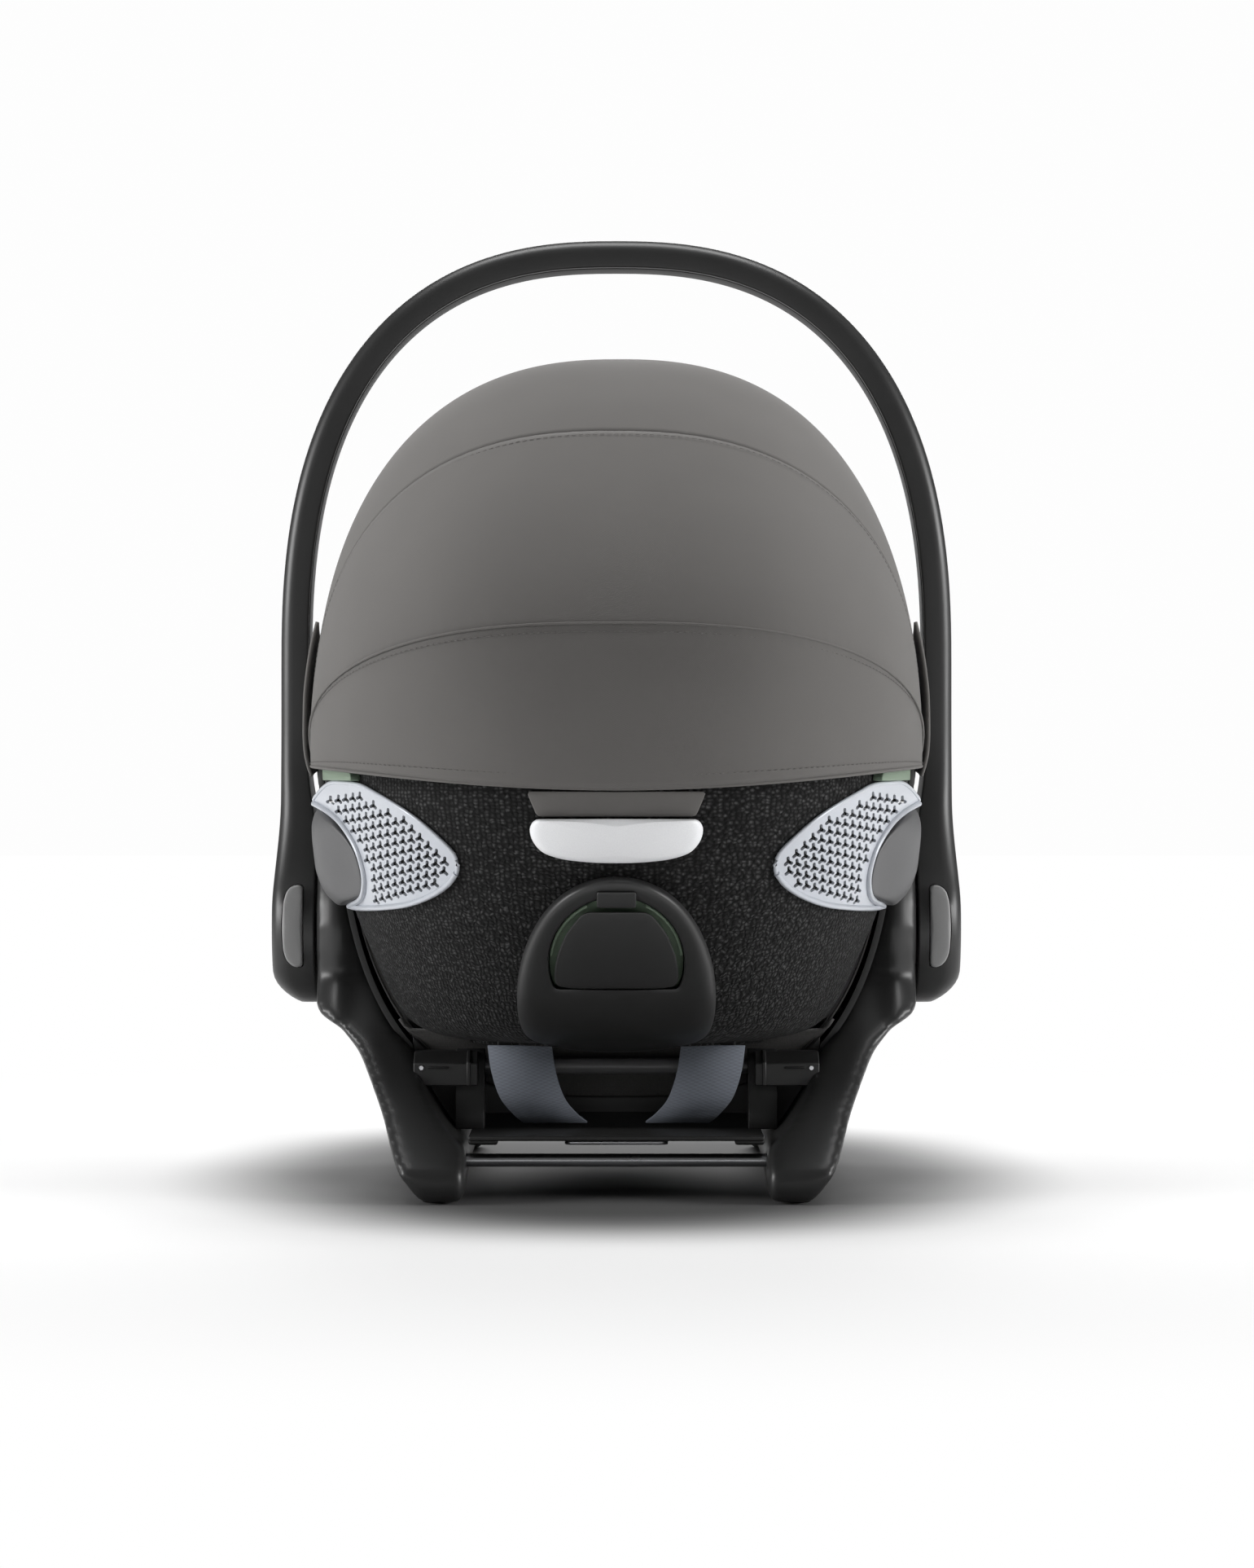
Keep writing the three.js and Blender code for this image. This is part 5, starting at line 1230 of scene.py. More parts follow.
class CARRIER_OT_back_shell(bpy.types.Operator):
    """Moulded back shell with its lugs, bosses and headrest rail"""
    bl_idname = "carrier.back_shell"
    bl_label = "Back Shell"

    def execute(self, context):
        black = MATERIALS["Black Plastic"]
        foot, top = 90.4, 402.0

        def place(u, v):
            z = lerp(foot, top, v ** 1.1)
            start = front_angle(z, shell_front(z), -0.4)
            return on_shell(lerp(start, math.pi - start, u), z, -0.4)

        bm = surface(120, 120, place, outward=(0, -60, 230))
        rim = [v for v in bm.verts if abs(v.co.z - foot * MM) < 1e-5]
        floor = [e for e in bm.edges if e.is_boundary and all(v in rim for v in e.verts)]
        for vert in new_verts(bmesh.ops.extrude_edge_only(bm, edges=floor)):
            vert.co.y = metres((0, SHELL_FRONT, 0)).y
            vert.co.z += 0.0002
        turn_out(bm, (0, -60, 230))
        obj = piece("shell_moulding", bm, "backrest", black, ("back_shell",), 50)
        solidify(obj, 0.0034)
        bevel(obj, 0.0010, 2, 60)
        finish_shape(obj, SHARP_ANGLE)

        bosses = bmesh.new()
        for side in (1, -1):
            for inner, outer, radius in ((174.5, 190.4, 13.0), (189.8, 191.0, 9.0)):
                middle = metres((side * (inner + outer) / 2, HOOD_Y, HOOD_Z))
                cylinder(bosses, (radius * MM,) * 2, (outer - inner) * MM, middle, "Y", 48)
        obj = piece("canopy_bosses", bosses, "backrest", black, (), 40)
        bevel(obj, 0.0006)

        lugs = bmesh.new()
        corners = [(-99, 77), (-102.3, 93), (-102.3, 98), (-132, 98), (-121, 77)]
        corners += lower_arc(-110, 77, 11, 12)
        for side in (1, -1):
            prism(lugs, corners, side * 60, side * 14)
        turn_out(lugs)
        obj = piece("recline_lugs", lugs, "backrest", black, (), 40)
        bevel(obj, 0.0010)

        rail = bmesh.new()
        for x, width, inset in ((-20, 6, 0.0), (-14, 28, 3.0), (14, 6, 0.0)):
            corners = [
                (SHELL_CENTRE - SHELL_DEPTH + 88 - 0.2 * (z - 194) - inset, z) for z in range(190, 385, 8)]
            corners += [(behind(0, z, -3.0)[1], z) for z in range(382, 189, -8)]
            prism(rail, corners, x, width)
        turn_out(rail)
        piece("headrest_rail", rail, "backrest", black, (), 40)
        return {"FINISHED"}


def tub_half(y):
    share = max(0.0, (y - 80) / (TUB_REACH - 80))
    return TUB_HALF * max(0.0, 1 - share ** 2.6) ** (1 / 2.6)


def tub_floor(y):
    share = max(0.0, (y - 60) / (TUB_REACH - 60))
    return TUB_FLOOR + (TUB_TOE - TUB_FLOOR) * share ** 3


def tub_rim(y):
    return cubic(TUB_RIM, y, 1)


def tub_point(y, share, inset=0.0):
    """Point of the tub's section at y, with share running from the right rim to the left."""
    half, floor = tub_half(y) - inset, tub_floor(y) + inset
    depth = TUB_SIDE_TOP - floor
    drop = clamp((TUB_SIDE_TOP - tub_rim(y)) / depth)
    start = math.asin(drop ** 1.5)
    t = lerp(start, math.pi - start, share)
    x, z = super_point(half, depth, 3.0, t)
    return x, y, TUB_SIDE_TOP - z


def tub_stations(end):
    """Places along Y from the tub's rear to an end at its toe, closer together there."""
    return [lerp(TUB_REAR + 2, end, math.sin(i / 80 * math.pi / 2)) for i in range(81)]


class CARRIER_OT_tub(bpy.types.Operator):
    """Seat tub with its rim bead, rear lip, floor pan, gussets and the recline handle's ears"""
    bl_idname = "carrier.tub"
    bl_label = "Tub"

    def execute(self, context):
        black = MATERIALS["Black Plastic"]

        def place(u, v):
            y = lerp(TUB_REAR, MOULDING_END, math.sin(v * math.pi / 2))
            x, y, z = tub_point(y, u)
            return x, y, lerp(z, tub_point(y, 0.0)[2], clamp((v - 0.93) / 0.07) ** 2)

        bm = surface(96, 90, place, outward=(0, 60, 200))
        obj = piece("tub_moulding", bm, "base", black, ("base_shell",), 0)
        solidify(obj, 0.0038)
        bevel(obj, 0.0012, 3, 50)
        finish_shape(obj, SHARP_ANGLE)

        stations = tub_stations(BEAD_END)
        rim = [Vector(tub_point(y, 0.0, 1.9)) for y in stations]
        rim += [Vector(tub_point(y, 1.0, 1.9)) for y in reversed(stations)]
        piece("tub_rim_bead", tube(rim, 3.0, 12), "base", black, (), 0)

        pan = bmesh.new()
        corners = [(-188, 36.6), (-110, 33), (-80, 47), (-80, 49), (-96, 49), (-110, 39.4), (-188, 39.6)]
        prism(pan, corners, -90, 180)
        turn_out(pan)
        obj = piece("floor_pan", pan, "base", black, (), 40)
        bevel(obj, 0.0012)

        def lip(u, v):
            x = lerp(-128, 128, u)
            low = TUB_SIDE_TOP - (TUB_SIDE_TOP - TUB_FLOOR) * (1 - (abs(x) / TUB_HALF) ** 3) ** (1 / 3)
            return x, -97 - 5 * (1 - v) ** 2, lerp(38.6, low + 11, v)

        bm = surface(64, 10, lip, outward=(0, 0, 60))
        obj = piece("tub_rear_lip", bm, "base", black, (), 50)
        solidify(obj, 0.003)
        bevel(obj, 0.0009, 2, 60)
        finish_shape(obj)

        gussets = bmesh.new()
        for side in (1, -1):
            verts = bmesh.ops.create_cube(gussets, size=1.0)["verts"]
            bmesh.ops.scale(gussets, vec=(0.018, 0.06, 0.0042), verts=verts)
            bmesh.ops.translate(gussets, vec=metres((side * 81, -157, 36.2)), verts=verts)
        obj = piece("pan_gussets", gussets, "base", black, (), 40)
        bevel(obj, 0.0015)

        ears = bmesh.new()
        y, z = 188.0, tub_floor(188) - 15.34
        corners = [(y + 7.5, z), (y + 7.5, z + 17), (y - 7.5, z + 17), (y - 7.5, z)]
        corners += lower_arc(y, z, 7.5, 10)
        for side in (1, -1):
            prism(ears, corners, side * 30.7, side * 5.2)
        turn_out(ears)
        piece("recline_ears", ears, "base", black, (), 40)
        return {"FINISHED"}


class CARRIER_OT_side_frames(bpy.types.Operator):
    """Side frames: pods, legs and runners as soft mouldings, with feet, bars and brackets"""
    bl_idname = "carrier.side_frames"
    bl_label = "Side Frames"

    def execute(self, context):
        black, steel = MATERIALS["Black Plastic"], MATERIALS["Drawn Steel"]
        for side in ("right", "left"):
            softened_node(f"side_frame_{side}", "base", MATERIALS["Frame Plastic"],
                          0.0026, 30, 0.0009, self.round_frame)
            for foot in ("foot_rear", "foot_front"):
                low, high = (Vector(c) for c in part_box(f"{foot}_{side}"))
                pad = bmesh.new()
                cylinder(pad, (0.0075, 0.0085), high.z - low.z, (low + high) / 2)
                obj = piece(f"{foot}_{side}_rubber", pad, "base", MATERIALS["Rubber"],
                            (f"{foot}_{side}",), 40)
                bevel(obj, 0.0010)
            rounded_node(f"recline_bracket_{side}", "base", black, 0.0010)
            rounded_node(f"handle_pin_{side}", "base", steel, 0.0006)
        for node, radius, half, y, z, finish in (
            ("latch_bar_rear", 4.0, 98, -170, 23.5, steel), ("latch_bar_front", 4.0, 98, 150, 23.5, steel),
            ("recline_tube", 5.0, 119, -110, 77, MATERIALS["Painted Tube"]),
        ):
            bar = bmesh.new()
            cylinder(bar, (radius * MM,) * 2, 2 * half * MM, metres((0, y, z)), "Y")
            obj = piece(f"{node}_drawn", bar, "base", finish, (node,), 40)
            bevel(obj, 0.0008)
        self.mechanism_housings()
        return {"FINISHED"}

    def round_frame(self, co, normal):
        """Rounds the pod's back into an upright roll and lets the leg reach down to its foot."""
        x, z = abs(co.x) / MM, co.z / MM
        roll = math.exp(-((x - 177) / 8.5) ** 2) * soft((z - 78) / 46) * (1 - soft((z - 196) / 20))
        co.y -= 4.5 * MM * roll * clamp(0.3 - normal.y * 1.6)
        co.z -= 2.4 * MM * soft((15 - z) / 10)

    def mechanism_housings(self):
        """Housings of the recline mechanism at the ends of its tube, with a rib, slot and screw each."""
        box, screws = bmesh.new(), bmesh.new()
        walls = [(-131, 66), (-131, 80), (-121, 86.5), (-99, 86.5), (-99, 66)]
        slot = [(-131.6, 76.6), (-131.6, 78), (-120, 78), (-120, 76.6)]
        for x, width, grow, corners in ((86, 40, 0.0, walls), (90.5, 2.5, 1.2, walls), (104, 13, 0.7, slot)):
            grown = [(y - grow * (y < -125), z + grow * (z > 79) * 0.6) for y, z in corners]
            prism(box, grown, x, width)
        turn_out(box)
        black, steel = MATERIALS["Black Plastic"], MATERIALS["Drawn Steel"]
        for obj in pair("mechanism_housing", box, ("base",) * 2, black, None, 40):
            bevel(obj, 0.0012)
        cylinder(screws, (0.0019, 0.0013), 0.0014, metres((121, -131.4, 77.2)), "X", 20)
        pair("housing_screw", screws, ("base",) * 2, steel, None, 40)


# Carry handle

def arch_station(share):
    """Place and outward direction on the handle's arch at a share of its half turn."""
    half = HANDLE_INNER + HANDLE_THICK / 2
    x, z = super_point(half, HANDLE_RISE, HANDLE_FULLNESS, share * math.pi)
    nx = math.copysign((abs(x) / half) ** (HANDLE_FULLNESS - 1) / half, x)
    nz = (abs(z) / HANDLE_RISE) ** (HANDLE_FULLNESS - 1) / HANDLE_RISE
    scale = math.hypot(nx, nz)
    return x, HANDLE_STRAIGHT + z, nx / scale, nz / scale


def arm_section(z):
    """Inner and outer place across, half-width and outer rounding of the arm and its hub at a height."""
    if z > 190:
        half = 18 + 23.4 * (1 - clamp((z - 190) / 105)) ** 2.2
    else:
        half = math.sqrt(max(0.0, 50 ** 2 - (z - PIVOT_Z) ** 2))
    outer = lerp(220.3, HANDLE_INNER + HANDLE_THICK, soft((z - 172) / 70))
    inner = lerp(192.4, HANDLE_INNER, soft((z - 214) / 55))
    if z < 136:
        outer -= 17 * ((136 - z) / 24) ** 2.4
    return inner, outer, half, lerp(11.0, 8.6, soft((z - 200) / 90))


def arch_stations(bottom):
    """Middle, outward direction, low, high, half-width and rounding along the whole handle."""
    steps, arm = 110, 40
    middle = HANDLE_INNER + HANDLE_THICK / 2
    stations = []
    for i in range(arm):
        z = bottom + (HANDLE_STRAIGHT - bottom) * (i / arm) ** 1.35
        inner, outer, half, rounding = arm_section(z)
        stations.append((middle, z, 1.0, 0.0, inner - middle, outer - middle, half, rounding))
    rest = HANDLE_THICK / 2
    arch = [(*arch_station(i / steps), -rest, rest, 18.0, 8.6) for i in range(steps + 1)]
    left = [(-x, z, -nx, nz, *more) for x, z, nx, nz, *more in reversed(stations)]
    return stations + arch + left


def arch_band(bottom, inside=None, outside=None, width=None, rounding=None, inner_round=1.4):
    """Band swept along the handle with rounded corners, whole or between two depths."""
    stations = arch_stations(bottom)
    corner, count = 6, 24

    def place(u, v):
        x, z, nx, nz, low, high, half, outer_round = stations[round(v * (len(stations) - 1))]
        low = low if inside is None else -HANDLE_THICK / 2 + inside
        high = high if outside is None else -HANDLE_THICK / 2 + outside
        half = half if width is None else width
        step = round(u * count) % count
        at = step // corner
        side = 1 if at in (0, 1) else -1
        out = at in (0, 3)
        reach = (rounding or outer_round) if out else inner_round
        reach = min(reach, half * 0.96, (high - low) * 0.48)
        a = math.radians(90 * at + 90 * (step % corner) / (corner - 1))
        offset = (high - reach if out else low + reach) + reach * math.cos(a)
        y = side * (half - reach) + reach * math.sin(a)
        return x + nx * offset, PIVOT_Y + y, z + nz * offset

    bm = surface(count, len(stations) - 1, place, (0.1, 1.3))
    bmesh.ops.holes_fill(bm, edges=[e for e in bm.edges if e.is_boundary], sides=0)
    turn_out(bm)
    return bm


button_outline = polygon_outline([
    (199.8, 137.0), (199.8, 188.4), (205.0, 189.2), (209.8, 186.0), (212.2, 178.0), (213.0, 165.0),
    (213.0, 159.0), (212.2, 147.0), (209.8, 140.2), (205.0, 136.6)], 3.0)


class CARRIER_OT_handle(bpy.types.Operator):
    """Carry handle: outer arch with its hubs, darker inner grip and release buttons"""
    bl_idname = "carrier.handle"
    bl_label = "Carry Handle"

    def execute(self, context):
        frame_plastic = MATERIALS["Frame Plastic"]
        arch = arch_band(112.4)
        obj = piece("handle_arch", arch, "handle", frame_plastic, ("handle_frame",), 50)
        pocket = plaque(
            button_outline, BUTTON_CENTRE, 19.0, 70.0, 0.1, 0.0, 64, 3, lambda x, z, lift: (x, -lift, z))
        # The pockets leave a gap round the buttons
        x, z = BUTTON_CENTRE
        for vert in pocket.verts:
            vert.co.x += 0.0005 * (1 if vert.co.x > x * MM else -1)
            vert.co.z += 0.0006 * (1 if vert.co.z > z * MM else -1)
        absorb(pocket, mirror_of(pocket))
        cutter = piece("pocket", pocket, "handle", frame_plastic, (), 0)
        cut = obj.modifiers.new("Button Pockets", "BOOLEAN")
        cut.operation = "DIFFERENCE"
        cut.solver = "EXACT"
        cut.object = cutter
        finish_shape(obj, SHARP_ANGLE)
        bpy.data.objects.remove(cutter)

        caps = bmesh.new()
        # Distances from the middle plane and radii of the cap's rings
        rings = [(217.0, 31.0), (220.3, 31.0), (220.8, 30.4), (221.0, 29.2), (220.9, 27.8), (220.9, 0.0)]
        for side in (1, -1):
            def place(u, v, side=side):
                x, radius = rings[round(v * (len(rings) - 1))]
                a = 2 * math.pi * u
                return side * x, PIVOT_Y + radius * math.sin(a), PIVOT_Z + radius * math.cos(a)

            absorb(caps, surface(72, len(rings) - 1, place, outward=(side * 205, PIVOT_Y, PIVOT_Z)))
        piece("handle_hub_caps", caps, "handle", MATERIALS["Grip"], (), 40)
        grip = arch_band(238.0, -0.5, 2.6, 13.5, 1.4, 1.2)
        piece("handle_grip", grip, "handle", MATERIALS["Grip"], ("handle_trim",), 50)

        def face(x, z, lift):
            return x, PIVOT_Y - lift, z

        shape = plaque(button_outline, BUTTON_CENTRE, 26.0, 50.6, 1.8, 0.5, 96, 5, face)
        pair("handle_button_cap", shape, ("handle_button_right_body", "handle_button_left_body"),
             MATERIALS["Button Plastic"], "handle_button", 40)
        return {"FINISHED"}


# Cushions and harness

def both_sides(line):
    """A line's mirror image and the line."""
    return [(-x, y, z) for x, y, z in line], line


# Sewn lines of the cushions, seen along the ray that lays them on each cushion's face
CHANNELS = {
    "seat_pad": (
        *both_sides([(92, -70, 80), (96, 0, 80), (90, 80, 80), (70, 150, 80)]),
        [(-94, -20, 80), (0, -26, 80), (94, -20, 80)], *both_sides([(92, 60, 80), (30, 66, 80)])),
    "back_pad": (
        *both_sides([(104, -150, 116), (110, -150, 190), (98, -200, 280)]),
        [(-106, -150, 140), (0, -150, 134), (106, -150, 140)]),
    "headrest_pad": both_sides([(56, -200, 206), (60, -200, 250), (52, -200, 302)]),
}


def swell_cushion(obj, sizes, shrink):
    """Swells a cushion as pressurised cloth and keeps it near its start."""
    subdivide(obj, 1)
    apply_modifiers(obj)
    move_along_normals(obj, -shrink)
    start = [v.co.copy() for v in obj.data.vertices]
    cloth = obj.modifiers.new("Cloth", "CLOTH")
    settings = cloth.settings
    settings.use_pressure = True
    settings.uniform_pressure_force = sizes.cushion_pressure
    settings.quality = 5
    settings.mass = 0.25
    settings.effector_weights.gravity = 0.0
    settings.tension_stiffness = 25
    settings.compression_stiffness = 25
    settings.bending_stiffness = 6.0
    cloth.point_cache.frame_start = 1
    cloth.point_cache.frame_end = sizes.cushion_steps
    scene = bpy.context.scene
    for step in range(1, sizes.cushion_steps + 1):
        scene.frame_set(step)
    graph = bpy.context.evaluated_depsgraph_get()
    moved = [v.co.copy() for v in obj.evaluated_get(graph).data.vertices]
    obj.modifiers.clear()
    scene.frame_set(1)
    cap = sizes.cushion_swell
    for vert, a, b in zip(obj.data.vertices, start, moved):
        way = b - a
        if way.length > cap:
            way = way * (cap / way.length)
        vert.co = a + way


def sew_channels(obj, name, body, lines, ray):
    """Draws a cushion in along sewn lines and lays stitches in them; ray runs into its face."""
    depth, width = 3.2, 3.4
    ray = Vector(ray)
    hide = Vector((1, 1, 1)) - Vector([abs(c) for c in ray])
    runs = [spread([Vector(p) for p in line], 90) for line in lines]
    tree = KDTree(sum(len(run) for run in runs))
    for i, point in enumerate(p for run in runs for p in run):
        tree.insert(metres(point) * hide, i)
    tree.balance()
    normals = [vert.normal.copy() for vert in obj.data.vertices]
    for vert, normal in zip(obj.data.vertices, normals):
        if normal.dot(ray) < -0.3:
            near = tree.find(vert.co * hide)[2] / MM
            vert.co += ray * (depth * MM * math.exp(-(near / width) ** 2))
    obj.data.update()
    faces = bmesh.new()
    faces.from_mesh(obj.data)
    hull = BVHTree.FromBMesh(faces)
    faces.free()
    sewn = bmesh.new()
    for run in runs:
        hits = []
        for point in run:
            place = hull.ray_cast(metres(point) * hide - ray * 0.6, ray)[0]
            if place:
                hits.append(Vector((place.x / MM, place.y / MM - SHIFT, place.z / MM)) - ray * 0.25)
        if len(hits) > 2:
            absorb(sewn, stitches(spread(hits, max(2, int(length_of(hits) / 4.4))), 0.4, 3.0))
    piece(name, sewn, body, MATERIALS["Cushion Jersey"], (), 0)


class CARRIER_OT_cushions(bpy.types.Operator):
    """Seat, back and headrest cushions, swollen as stuffed cloth, with their sewn channels"""
    bl_idname = "carrier.cushions"
    bl_label = "Cushions"

    def execute(self, context):
        sizes = context.scene.carrier_sizes
        jersey = MATERIALS["Cushion Jersey"]
        for node, body, shrink, fill, ray in (
            ("seat_pad", "base", 0.0030, 0.6, (0, 0, -1)), ("back_pad", "backrest", 0.0028, 0.55, (0, -1, 0)),
            ("headrest_pad", "headrest", 0.0022, 0.65, (0, -1, 0)),
        ):
            bm = node_mesh(node)
            bmesh.ops.join_triangles(
                bm, faces=bm.faces[:], angle_face_threshold=math.radians(40),
                angle_shape_threshold=math.radians(60))
            obj = piece(f"{node}_cushion", bm, body, jersey, (node,), 0)
            swell_cushion(obj, sizes, shrink)
            subdivide(obj, 2 if len(obj.data.vertices) < 2500 else 1)
            apply_modifiers(obj)
            sew_channels(obj, f"{node}_stitching", body, CHANNELS[node], ray)
            obj.data.shade_smooth()
        rounded_node("headrest_shell", "headrest", MATERIALS["Grey Plastic"], 0.0008)
        self.liners(jersey)
        return {"FINISHED"}

    def liners(self, jersey):
        """Fabric liners: one over the tub's inside and rim, one on each side of the backrest."""
        def inside(u, v):
            y = lerp(TUB_REAR + 1.5, LINER_END, math.sin(v * math.pi / 2))
            x, y, z = tub_point(y, lerp(0.004, 0.996, u), 5.6)
            z = lerp(z, tub_point(y, 0.0)[2], clamp((v - 0.9) / 0.1) ** 2)
            return x, y - 5.5 * clamp((y - 250) / 80) ** 2, z + 4.0

        bm = surface(96, 80, inside, (0.62, 0.44))
        for face in bm.faces:
            face.normal_flip()
        area = area_of(bm)
        obj = piece("tub_liner", bm, "base", jersey, (), 0)
        thicken(obj, 0.0012, 0.0)
        rim = []
        stations = tub_stations(BINDING_END)
        for share, places in ((0.0, stations), (1.0, reversed(stations))):
            for station in places:
                x, y, z = tub_point(station, share, 4.2)
                rim.append(Vector((x, y - 4.5 * clamp((y - 250) / 80) ** 2, z + 3.2)))
        bead = tube(rim, 2.6, 10)
        inner = [Vector((p.x * 0.985, p.y - (4 if p.y > 250 else 0), p.z - 4.5)) for p in rim]
        absorb(bead, stitches(spread(inner, 260), 0.3, 2.8))
        piece("tub_liner_binding", bead, "base", jersey, (), 0)

        rear_start, rear_end = -91.5, -96

        def rear(u, v):
            x, _, z = tub_point(rear_start, lerp(0.21, 0.79, u), 6.4)
            return x, lerp(rear_start, rear_end, v), lerp(z, max(99, z), v)

        bm = surface(48, 12, rear, (0.28, 0.05), (0, -200, 70))
        area = area_of(bm)
        obj = piece("tub_back_liner", bm, "base", jersey, (), 0)
        thicken(obj, 0.002, 0.0)

        def side(u, v):
            """Round the shell's inside up to its front edge, and from there forward beside the tub."""
            z = lerp(97, 236, v)
            start = front_angle(z, SHELL_FRONT, -6)
            if u < 0.45:
                return on_shell(lerp(start + 0.35, start, u / 0.45), z, -6)
            x, y, _ = on_shell(start, z, -6)
            reach = (u - 0.45) / 0.55
            limit = TUB_HALF * (1 - clamp((TUB_SIDE_TOP - z) / 264) ** 3) ** (1 / 3) - 12
            return lerp(x, min(x, limit) - 2.5, soft(reach)), y + 56 * reach * soft((z - 84) / 40), z

        bm = surface(28, 30, side, (0.12, 0.14))
        area = area_of(bm)
        for obj in pair("back_side_liner", bm, ("backrest",) * 2, jersey, None, 0):
            thicken(obj, 0.0024, 0.0)


def webbing(route, width, thickness, steps=60):
    """Flat webbing along a route in millimetres, with rounded edges and its own UVs."""
    line = spread(route, steps)
    half = width / 2
    # Places across and shares of the thickness, round the webbing's section
    section = [
        (-half, 0), (-half + 0.5, 0.5), (-half * 0.5, 0.5), (0, 0.5), (half * 0.5, 0.5), (half - 0.5, 0.5),
        (half, 0), (half - 0.5, -0.5), (0, -0.5), (-half + 0.5, -0.5)]
    count = len(section)
    across = Vector((1, 0, 0))

    def place(u, v):
        i = round(v * steps)
        tangent = (line[min(i + 1, steps)] - line[max(i - 1, 0)]).normalized()
        normal = across.cross(tangent).normalized()
        a, b = section[round(u * count) % count]
        return line[i] + across * a + normal * (b * thickness)

    bm = surface(count, steps, place, (width * 2 * MM, length_of(line) * MM))
    bmesh.ops.holes_fill(bm, edges=[e for e in bm.edges if e.is_boundary], sides=0)
    turn_out(bm)
    return bm


SHOULDER_ROUTE = (
    (48, -229.4, 182), (46, -190, 157), (41, -146, 138), (34, -96, 126), (26, -30, 130), (18.5, 31.6, 172))
REAR_ROUTE = ((60, -132, 91.1), (57.4, -137, 75), (52, -137, 59), (44, -131, 48.5), (38, -124, 43.2))


class CARRIER_OT_harness(bpy.types.Operator):
    """Harness webbing, shoulder pads, buckle, adjuster and yoke"""
    bl_idname = "carrier.harness"
    bl_label = "Harness"

    def execute(self, context):
        thick = context.scene.carrier_sizes.webbing_thickness / MM
        cloth = MATERIALS["Webbing"]
        # Both webbings hang from the backrest and end on the base
        for name, route, width, node, start, end in (
            ("rear_webbing", REAR_ROUTE, 40, "rear_strap", (0, -133, 88), (0, -127, 46)),
            ("shoulder_webbing", SHOULDER_ROUTE, 34, "shoulder_strap", (0, -90, 126), (0, 22, 166)),
        ):
            for obj in pair(name, webbing(route, width, thick), (None,) * 2, cloth, node, 0):
                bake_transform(obj)
        pads = webbing(SHOULDER_ROUTE[:4], 44, 6.4, 48)
        for vert in pads.verts:
            vert.co += Vector((0, 0.0030, 0.0040))
        for obj in pair("shoulder_cushion", pads, ("backrest",) * 2, MATERIALS["Cushion Jersey"],
                        "shoulder_pad", 0):
            subdivide(obj, 1)
            apply_modifiers(obj)
        rounded_node("crotch_strap", "base", cloth, 0.0004)
        rounded_node("adjuster_strap", "base", cloth, 0.0004)
        for node, body, material, slot, width in (
            ("buckle_body", "base", "Black Plastic", "black_plastic", 0.0018),
            ("buckle_tongue_right", "base", "Drawn Steel", "steel", 0.0006),
            ("buckle_tongue_left", "base", "Drawn Steel", "steel", 0.0006),
            ("buckle_button", "buckle_button_body", "Button Plastic", "button_plastic", 0.0010),
            ("adjuster_housing", "base", "Black Plastic", "black_plastic", 0.0016),
            ("adjuster_button", "adjuster_button_body", "Button Plastic", "button_plastic", 0.0008),
            ("harness_yoke", "base", "Drawn Steel", "steel", 0.0005),
            ("recline_handle", "recline_handle_body", "Grey Plastic", "grey_plastic", 0.0012),
        ):
            rounded_node(node, body, MATERIALS[material], width)
        return {"FINISHED"}


# Stage

def area_lamp(name, place, target, size, power):
    data = bpy.data.lights.new(name, "AREA")
    data.shape = "RECTANGLE"
    data.size, data.size_y = size
    data.energy = power
    lamp = bpy.data.objects.new(name, data)
    bpy.context.scene.collection.objects.link(lamp)
    lamp.location = place
    lamp.rotation_euler = (Vector(target) - Vector(place)).to_track_quat("-Z", "Y").to_euler()


def seen_rays(tree, *kinds):
    """One for rays from the camera and those of the given kinds, and nought for others."""
    path = add_node(tree, "LightPath").outputs
    seen = path["Is Camera Ray"]
    for kind in kinds:
        seen = math_node(tree, "MAXIMUM", seen, path[f"Is {kind} Ray"])
    return seen


def floor_material(tone):
    """Floor that shows its shadows near the seat, deepened there by a painted shadow, and fades to plain
    white further out.
    """
    material = bpy.data.materials.new("Pale Floor")
    material.use_nodes = True
    tree = material.node_tree
    shader = tree.nodes["Principled BSDF"]
    place = add_node(tree, "TexCoord").outputs["Object"]
    # Painted shadow: a soft dark tone on the floor below the seat deepens its contact shadow
    stretch = add_node(tree, "Mapping", {"Vector": place, "Scale": (1.45, 1.0, 1.0)})
    near = add_node(tree, "VectorMath", {0: stretch.outputs["Vector"]}, operation="LENGTH")
    reach = {"Value": near.outputs["Value"], "From Min": 0.25, "From Max": 0.45}
    reach.update({"To Min": 0.19 * tone, "To Max": tone})
    shade = add_node(tree, "MapRange", reach, interpolation_type="SMOOTHSTEP")
    for label, value in (
        ("Base Color", shade.outputs["Result"]), ("Roughness", 0.7), ("Specular IOR Level", 0.1),
    ):
        feed(tree, shader.inputs[label], value)
    away = add_node(tree, "VectorMath", {0: place}, operation="LENGTH")
    fade = add_node(
        tree, "MapRange", {"Value": away.outputs["Value"], "From Min": 0.42, "From Max": 1.05},
        interpolation_type="SMOOTHSTEP")
    share = math_node(tree, "MULTIPLY", seen_rays(tree, "Glossy", "Transmission"), fade.outputs["Result"])
    glow = add_node(tree, "Emission")
    mixed = add_node(tree, "MixShader", {0: share, 1: shader.outputs[0], 2: glow.outputs[0]})
    feed(tree, tree.nodes["Material Output"].inputs["Surface"], mixed.outputs[0])
    return material


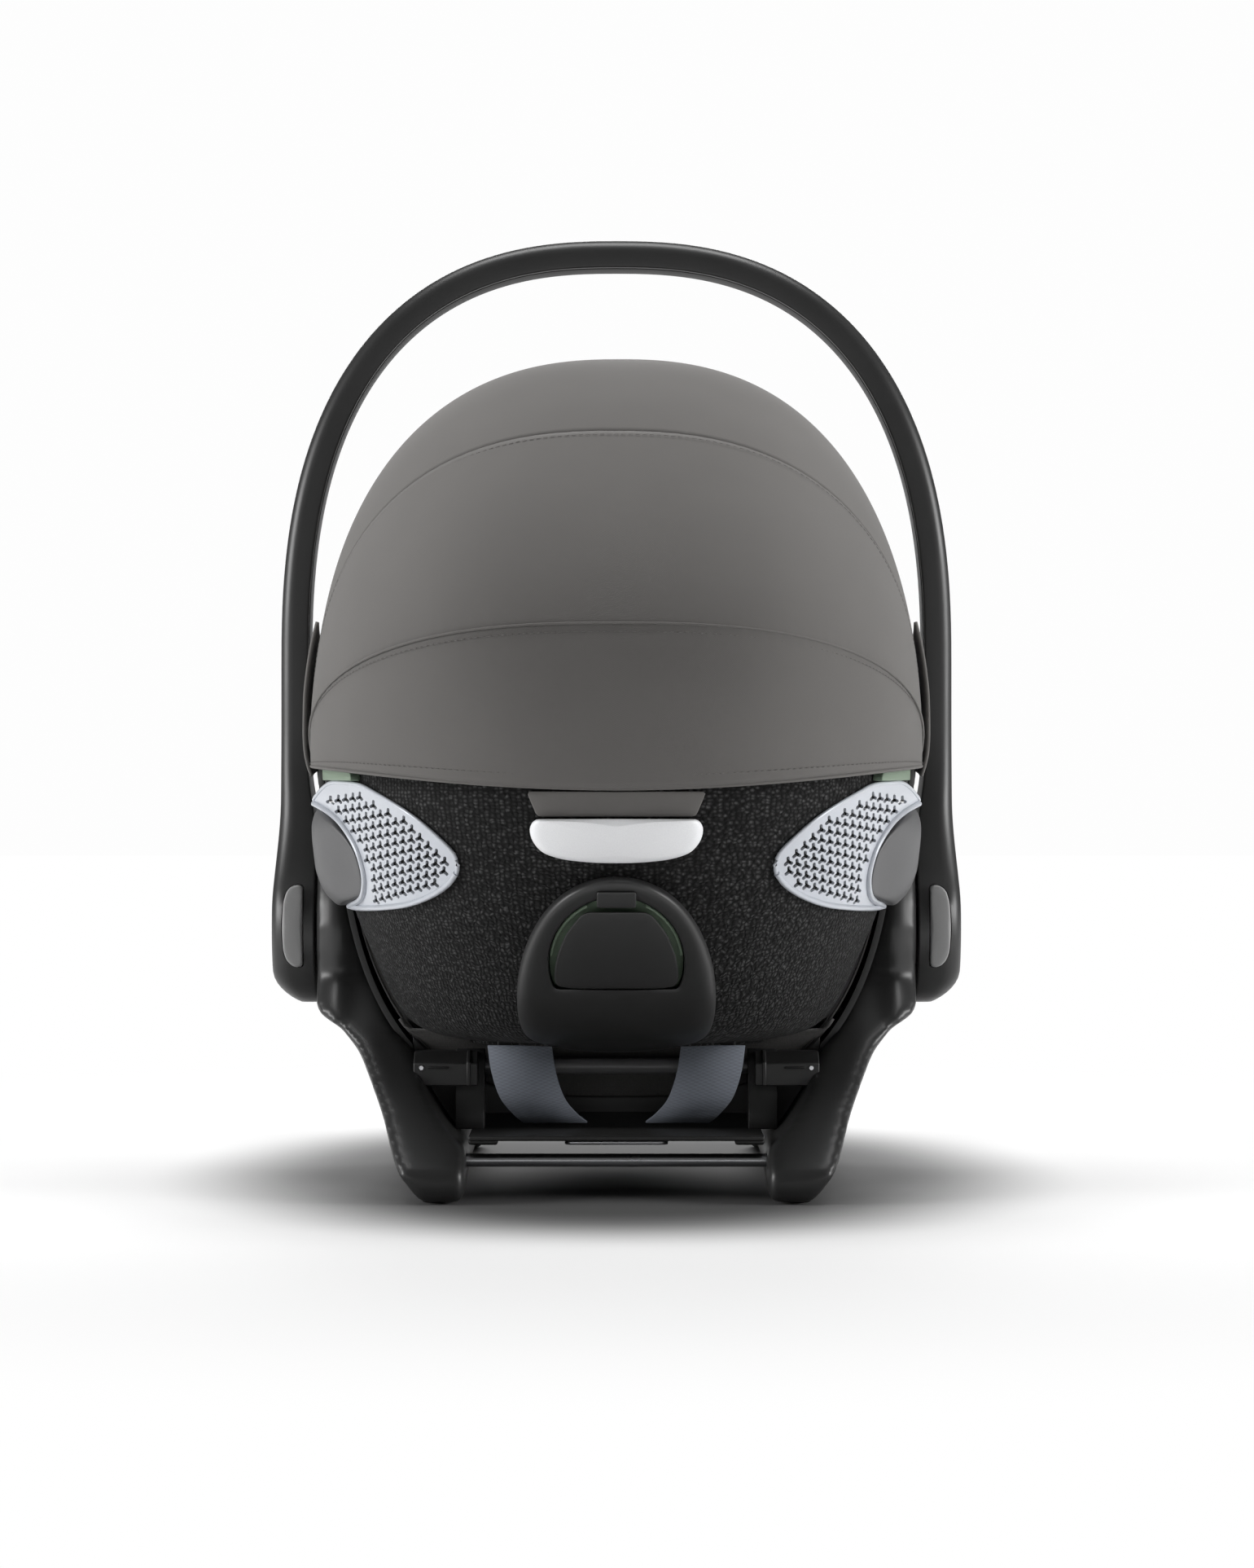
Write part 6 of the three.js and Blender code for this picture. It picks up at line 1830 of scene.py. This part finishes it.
class CARRIER_OT_stage(bpy.types.Operator):
    """Pale floor, soft lamps and the camera behind the seat"""
    bl_idname = "carrier.stage"
    bl_label = "Stage"

    def execute(self, context):
        scene = context.scene
        scene.view_settings.view_transform = "Standard"
        bm = bmesh.new()
        bmesh.ops.create_grid(bm, x_segments=1, y_segments=1, size=12.0)
        mesh = bpy.data.meshes.new("floor")
        bm.to_mesh(mesh)
        bm.free()
        floor = bpy.data.objects.new("floor", mesh)
        scene.collection.objects.link(floor)
        mesh.materials.append(floor_material(scene.carrier_colours.floor[0]))

        world = bpy.data.worlds.new("Studio")
        scene.world = world
        world.use_nodes = True
        tree = world.node_tree
        background = tree.nodes["Background"]
        background.inputs["Color"].default_value = (1, 1, 1, 1)
        strength = math_node(tree, "MULTIPLY_ADD", seen_rays(tree, "Transmission"), 0.87, 0.115)
        feed(tree, background.inputs["Strength"], strength)

        area_lamp("top_lamp", (0, 0.0, 2.3), (0, 0.0, 0.2), (1.9, 0.8), 37)
        area_lamp("left_lamp", (-2.1, -0.55, 0.7), (0, -0.1, 0.3), (1.1, 0.8), 31)
        area_lamp("right_lamp", (2.1, -0.55, 0.7), (0, -0.1, 0.3), (1.1, 0.8), 31)
        area_lamp("front_lamp", (0, 2.4, 1.05), (0, 0, 0.3), (1.6, 1.0), 32)

        data = bpy.data.cameras.new("camera")
        data.sensor_width = SENSOR_WIDTH
        data.lens = FOCAL_LENGTH / PHOTO_WIDTH * SENSOR_WIDTH
        data.shift_x = PHOTO_SHIFT / PHOTO_WIDTH
        data.clip_end = 60.0
        camera = bpy.data.objects.new("camera", data)
        scene.collection.objects.link(camera)
        camera.location = (0, metres((0, PIVOT_Y, 0)).y - CAMERA_DISTANCE, CAMERA_HEIGHT)
        camera.rotation_euler = (math.pi / 2, 0, 0)
        scene.camera = camera
        return {"FINISHED"}


class CARRIER_PT_panel(bpy.types.Panel):
    """Carrier tools in the sidebar"""
    bl_idname = "CARRIER_PT_panel"
    bl_label = "Infant Carrier Seat"
    bl_space_type = "VIEW_3D"
    bl_region_type = "UI"
    bl_category = "Carrier"

    def draw(self, context):
        layout = self.layout
        for group in (context.scene.carrier_sizes, context.scene.carrier_colours):
            box = layout.box()
            for name in group.__annotations__:
                box.prop(group, name)
        for operator in OPERATORS:
            layout.operator(operator.bl_idname)


OPERATORS = (
    CARRIER_OT_stage, CARRIER_OT_canopy, CARRIER_OT_back_cover, CARRIER_OT_release_lever,
    CARRIER_OT_belt_guide, CARRIER_OT_wings, CARRIER_OT_back_shell, CARRIER_OT_tub,
    CARRIER_OT_side_frames, CARRIER_OT_handle, CARRIER_OT_cushions, CARRIER_OT_harness,
)
CLASSES = (CarrierSizes, CarrierColours, *OPERATORS, CARRIER_PT_panel)


def register():
    for item in CLASSES:
        bpy.utils.register_class(item)
    bpy.types.Scene.carrier_sizes = PointerProperty(type=CarrierSizes)
    bpy.types.Scene.carrier_colours = PointerProperty(type=CarrierColours)


def unregister():
    del bpy.types.Scene.carrier_colours
    del bpy.types.Scene.carrier_sizes
    for item in reversed(CLASSES):
        bpy.utils.unregister_class(item)


def main():
    register()
    make_materials(bpy.context.scene.carrier_colours)
    for operator in OPERATORS:
        getattr(bpy.ops.carrier, operator.bl_idname.split(".")[1])()


if __name__ == "__main__":
    main()
